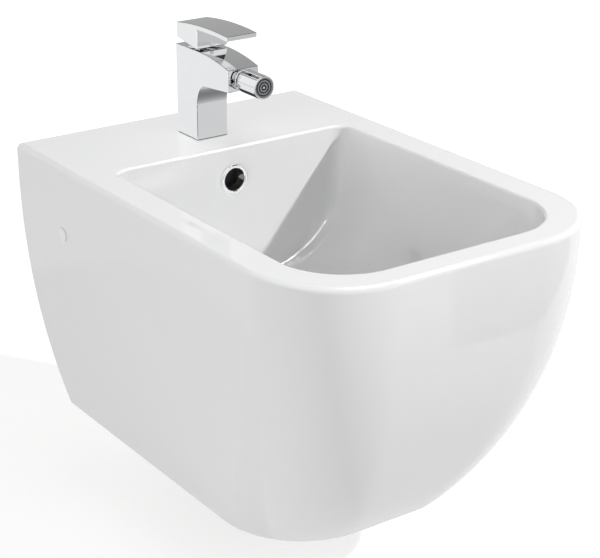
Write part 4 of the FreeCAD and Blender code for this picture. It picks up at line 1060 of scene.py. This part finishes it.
@dataclass(frozen=True)
class Card:
    """A glowing level sheet that only reflections from above show, with a tone that changes along Y over the
    fade; the pale ones paint the deck's reflection into the chrome, the dark ones paint shade into it.
    """

    name: str
    across: Span
    along: Span
    height: float
    tone: Span
    fade: Span = (0.0, 1.0)

    def build(self) -> None:
        """Lays the card, clear from below."""
        look = glowing_look(self.name, self.fade, self.tone)
        look.clear_from_behind()
        stand_mirrored(self.name, level_quad(self.across, self.along, self.height), look)


@dataclass
class Studio:
    """Camera, pale floor and surround, lamps, and the glowing sheets that only reflections show, which paint
    reflections and shade into the glaze and chrome.

    The camera's pitch and yaw are in degrees and its lens is in millimetres. The floor lies a drop under the
    foot, and its glow goes from the first value to the second over the fade, by the distance from the origin.
    """

    camera_place: Point = (-0.9224, -1.5752, 0.6208)
    camera_pitch: float = 22.340
    camera_yaw: float = 34.908
    camera_lens: float = 102.726
    camera_shift: Span = (0.0070, 0.0063)
    floor_drop: float = 0.080
    floor_reach: float = 9.0
    floor_tone: float = 0.45
    floor_roughness: float = 0.9
    floor_glow: Span = (0.70, 1.0)
    floor_fade: Span = (0.7, 2.0)
    floor_mirrored: float = 0.62
    floor_bounce: float = 0.28
    surround: float = 0.22
    lamps: tuple[Lamp, ...] = (
        Lamp("key_lamp", place=(1.855, -2.38, 2.10), size=(0.12, 0.12), power=92.5,
             mirrored=False, blockers=CHINA_NODES),
        Lamp("key_glint", place=(1.001, -1.377, 1.157), size=(0.162, 0.162), power=2.04,
             shines=False, receivers=CHINA_NODES),
        Lamp("top_strip", place=(0.75, -0.90, 2.10), size=(1.7, 0.6), power=36.0, aim=(0.75, -0.28, 0.0),
             shines=False, receivers=CHINA_NODES),
        Lamp("top_softbox", place=(0.0, -0.30, 2.5), size=(1.6, 1.6), power=9.0, mirrored=False),
        Lamp("left_fill", place=(-2.15, -0.90, 0.50), size=(1.6, 1.4), power=19.5, mirrored=False),
        Lamp("rear_fill", place=(-0.9, 2.6, 1.0), size=(2.0, 1.6), power=20.0, mirrored=False),
        Lamp("deck_light", place=(0.0, -0.20, 2.5), size=(0.8, 0.8), power=14.5, aim=(0.0, -0.20, 0.0),
             mirrored=False, blockers=CHINA_NODES, receivers=("china_rim",)),
        Lamp("back_fill", place=(0.0, 2.6, 0.0), size=(1.6, 0.2), power=13.0, aim=(0.0, 0.0, -0.05),
             mirrored=False, receivers=CHINA_NODES),
        Lamp("deck_panel", place=(0.78, 0.72, 0.52), size=(1.5, 0.75), power=0.14, aim=(0.116, 0.056, 0.178),
             spread=70.0, shines=False, blockers=CHINA_NODES, receivers=CHINA_NODES),
        Lamp("crease_strip", place=(-0.32, -0.95, 0.95), size=(2.3, 0.24), power=20.0,
             aim=(-0.48, -0.475, -0.05), shines=False, receivers=("china_basin",)),
        Lamp("ring_card", place=(0.063, -0.232, -0.008), size=(0.14, 0.14), power=0.034,
             aim=(0.0, -0.1415, 0.038), shines=False, receivers=("overflow_ring",)),
        Lamp("hole_card", place=(0.0, -0.1245, 0.029), size=(0.012, 0.012), power=0.0001,
             aim=(0.012, -0.138, 0.038), shines=False, receivers=("overflow_ring",)))
    # Glowing sheets that paint grey and dark reflections into the glaze and chrome
    hoods: tuple[Hood, ...] = (
        Hood("grey_hood", rise=(-8.0, 98.0), side=(-0.30, 0.90), tone=(0.46, 0.30)),
        Hood("dark_band", rise=(5.0, 66.0), side=(0.04, 0.28), tone=(0.06, 0.06), distance=2.1),
        Hood("dark_brow", rise=(99.0, 150.0), side=(0.30, 0.72), tone=(0.05, 0.05), distance=3.0),
        Hood("front_grey", rise=(172.0, 214.0), side=(0.30, 0.75), tone=(0.62, 0.62), distance=0.8))
    # Glowing sheets that paint into the chrome the deck's pale reflection in front of and beside the tap, a
    # dark reflection in front of the tap to its left, and shade under the arch and the nozzle
    cards: tuple[Card, ...] = (
        Card("ledge_card", across=(-0.06, 0.20), along=(-0.40, -0.0995), height=0.0745,
             tone=(0.74, 0.74)),
        Card("side_card", across=(-0.20, -0.0195), along=(-0.0995, 0.03), height=0.0745,
             tone=(0.96, 0.96)),
        # A dark sheet that paints a dark reflection into the chrome
        Card("edge_dark_reflection", across=(-0.112, -0.0195), along=(-0.24, -0.0995), height=0.0755,
             tone=(0.25, 0.25)),
        # Sheets that paint shade into the chrome under the arch, fading from pale to dark, and under the
        # nozzle
        Card("arch_painted_shade", across=(-0.02, 0.085), along=(-0.160, -0.0995), height=0.112,
             tone=(0.70, 0.04), fade=(-0.0995, -0.112)),
        Card("nozzle_painted_shade", across=(-0.012, -0.002), along=(-0.197, -0.160), height=0.126,
             tone=(0.05, 0.05)))

    def build(self) -> None:
        """Sets up the whole studio."""
        bpy.context.scene.view_settings.view_transform = "Standard"
        self.make_camera()
        self.make_floor()
        self.make_surround()
        for item in (*self.lamps, *self.hoods, *self.cards):
            item.build()
            LOG.info("studio: %s", item.name)

    def make_camera(self) -> None:
        """Stands the camera where the photograph was taken from."""
        data = bpy.data.cameras.new("camera")
        data.lens = self.camera_lens
        data.shift_x, data.shift_y = self.camera_shift
        camera = bpy.data.objects.new("camera", data)
        camera.location = self.camera_place
        camera.rotation_euler = (math.radians(90.0 - self.camera_pitch), 0.0, math.radians(-self.camera_yaw))
        bpy.context.scene.collection.objects.link(camera)
        bpy.context.scene.camera = camera

    def make_floor(self) -> None:
        """Lays the floor: pale, white further off, and it keeps the object's shadow."""
        look = Look("pale_floor")
        away = look.add("ShaderNodeVectorMath", Vector=look.place)
        away.operation = "LENGTH"
        glow = look.ramp(away.outputs["Value"], self.floor_fade, self.floor_glow)
        look.surface(Base_Color=opaque((self.floor_tone,) * 3), Roughness=self.floor_roughness,
                     Specular_IOR_Level=0.0, Emission_Color=opaque(WHITE),
                     Emission_Strength=by_ray(look, self.floor_bounce, self.floor_mirrored, glow))
        reach, height = self.floor_reach, FOOT_HEIGHT - self.floor_drop
        make_piece("floor", *level_quad((-reach, reach), (-reach, reach), height), look.material)

    def make_surround(self) -> None:
        """Gives the world a soft even light that is white where it is seen."""
        world = bpy.data.worlds.new("surround")
        world.use_nodes = True
        wiring = Wiring(world.node_tree)
        background = next(node for node in world.node_tree.nodes if node.type == "BACKGROUND")
        wiring.fill(background, {"Color": opaque(WHITE), "Strength": by_ray(wiring, self.surround, 1.0, 1.0)})
        bpy.context.scene.world = world


def main() -> None:
    """Dresses the carried nodes, builds the fine pieces and sets up the studio."""
    logging.basicConfig(level=logging.INFO, format="%(message)s")
    shelf = FinishShelf()
    for assembly in (Shell(), WallFixing(), Cartridge(), Waste(), Mixer(), Nozzle(), Trap()):
        assembly.dress(shelf)
        assembly.build(shelf)
    Studio().build()


if __name__ == "__main__":
    main()
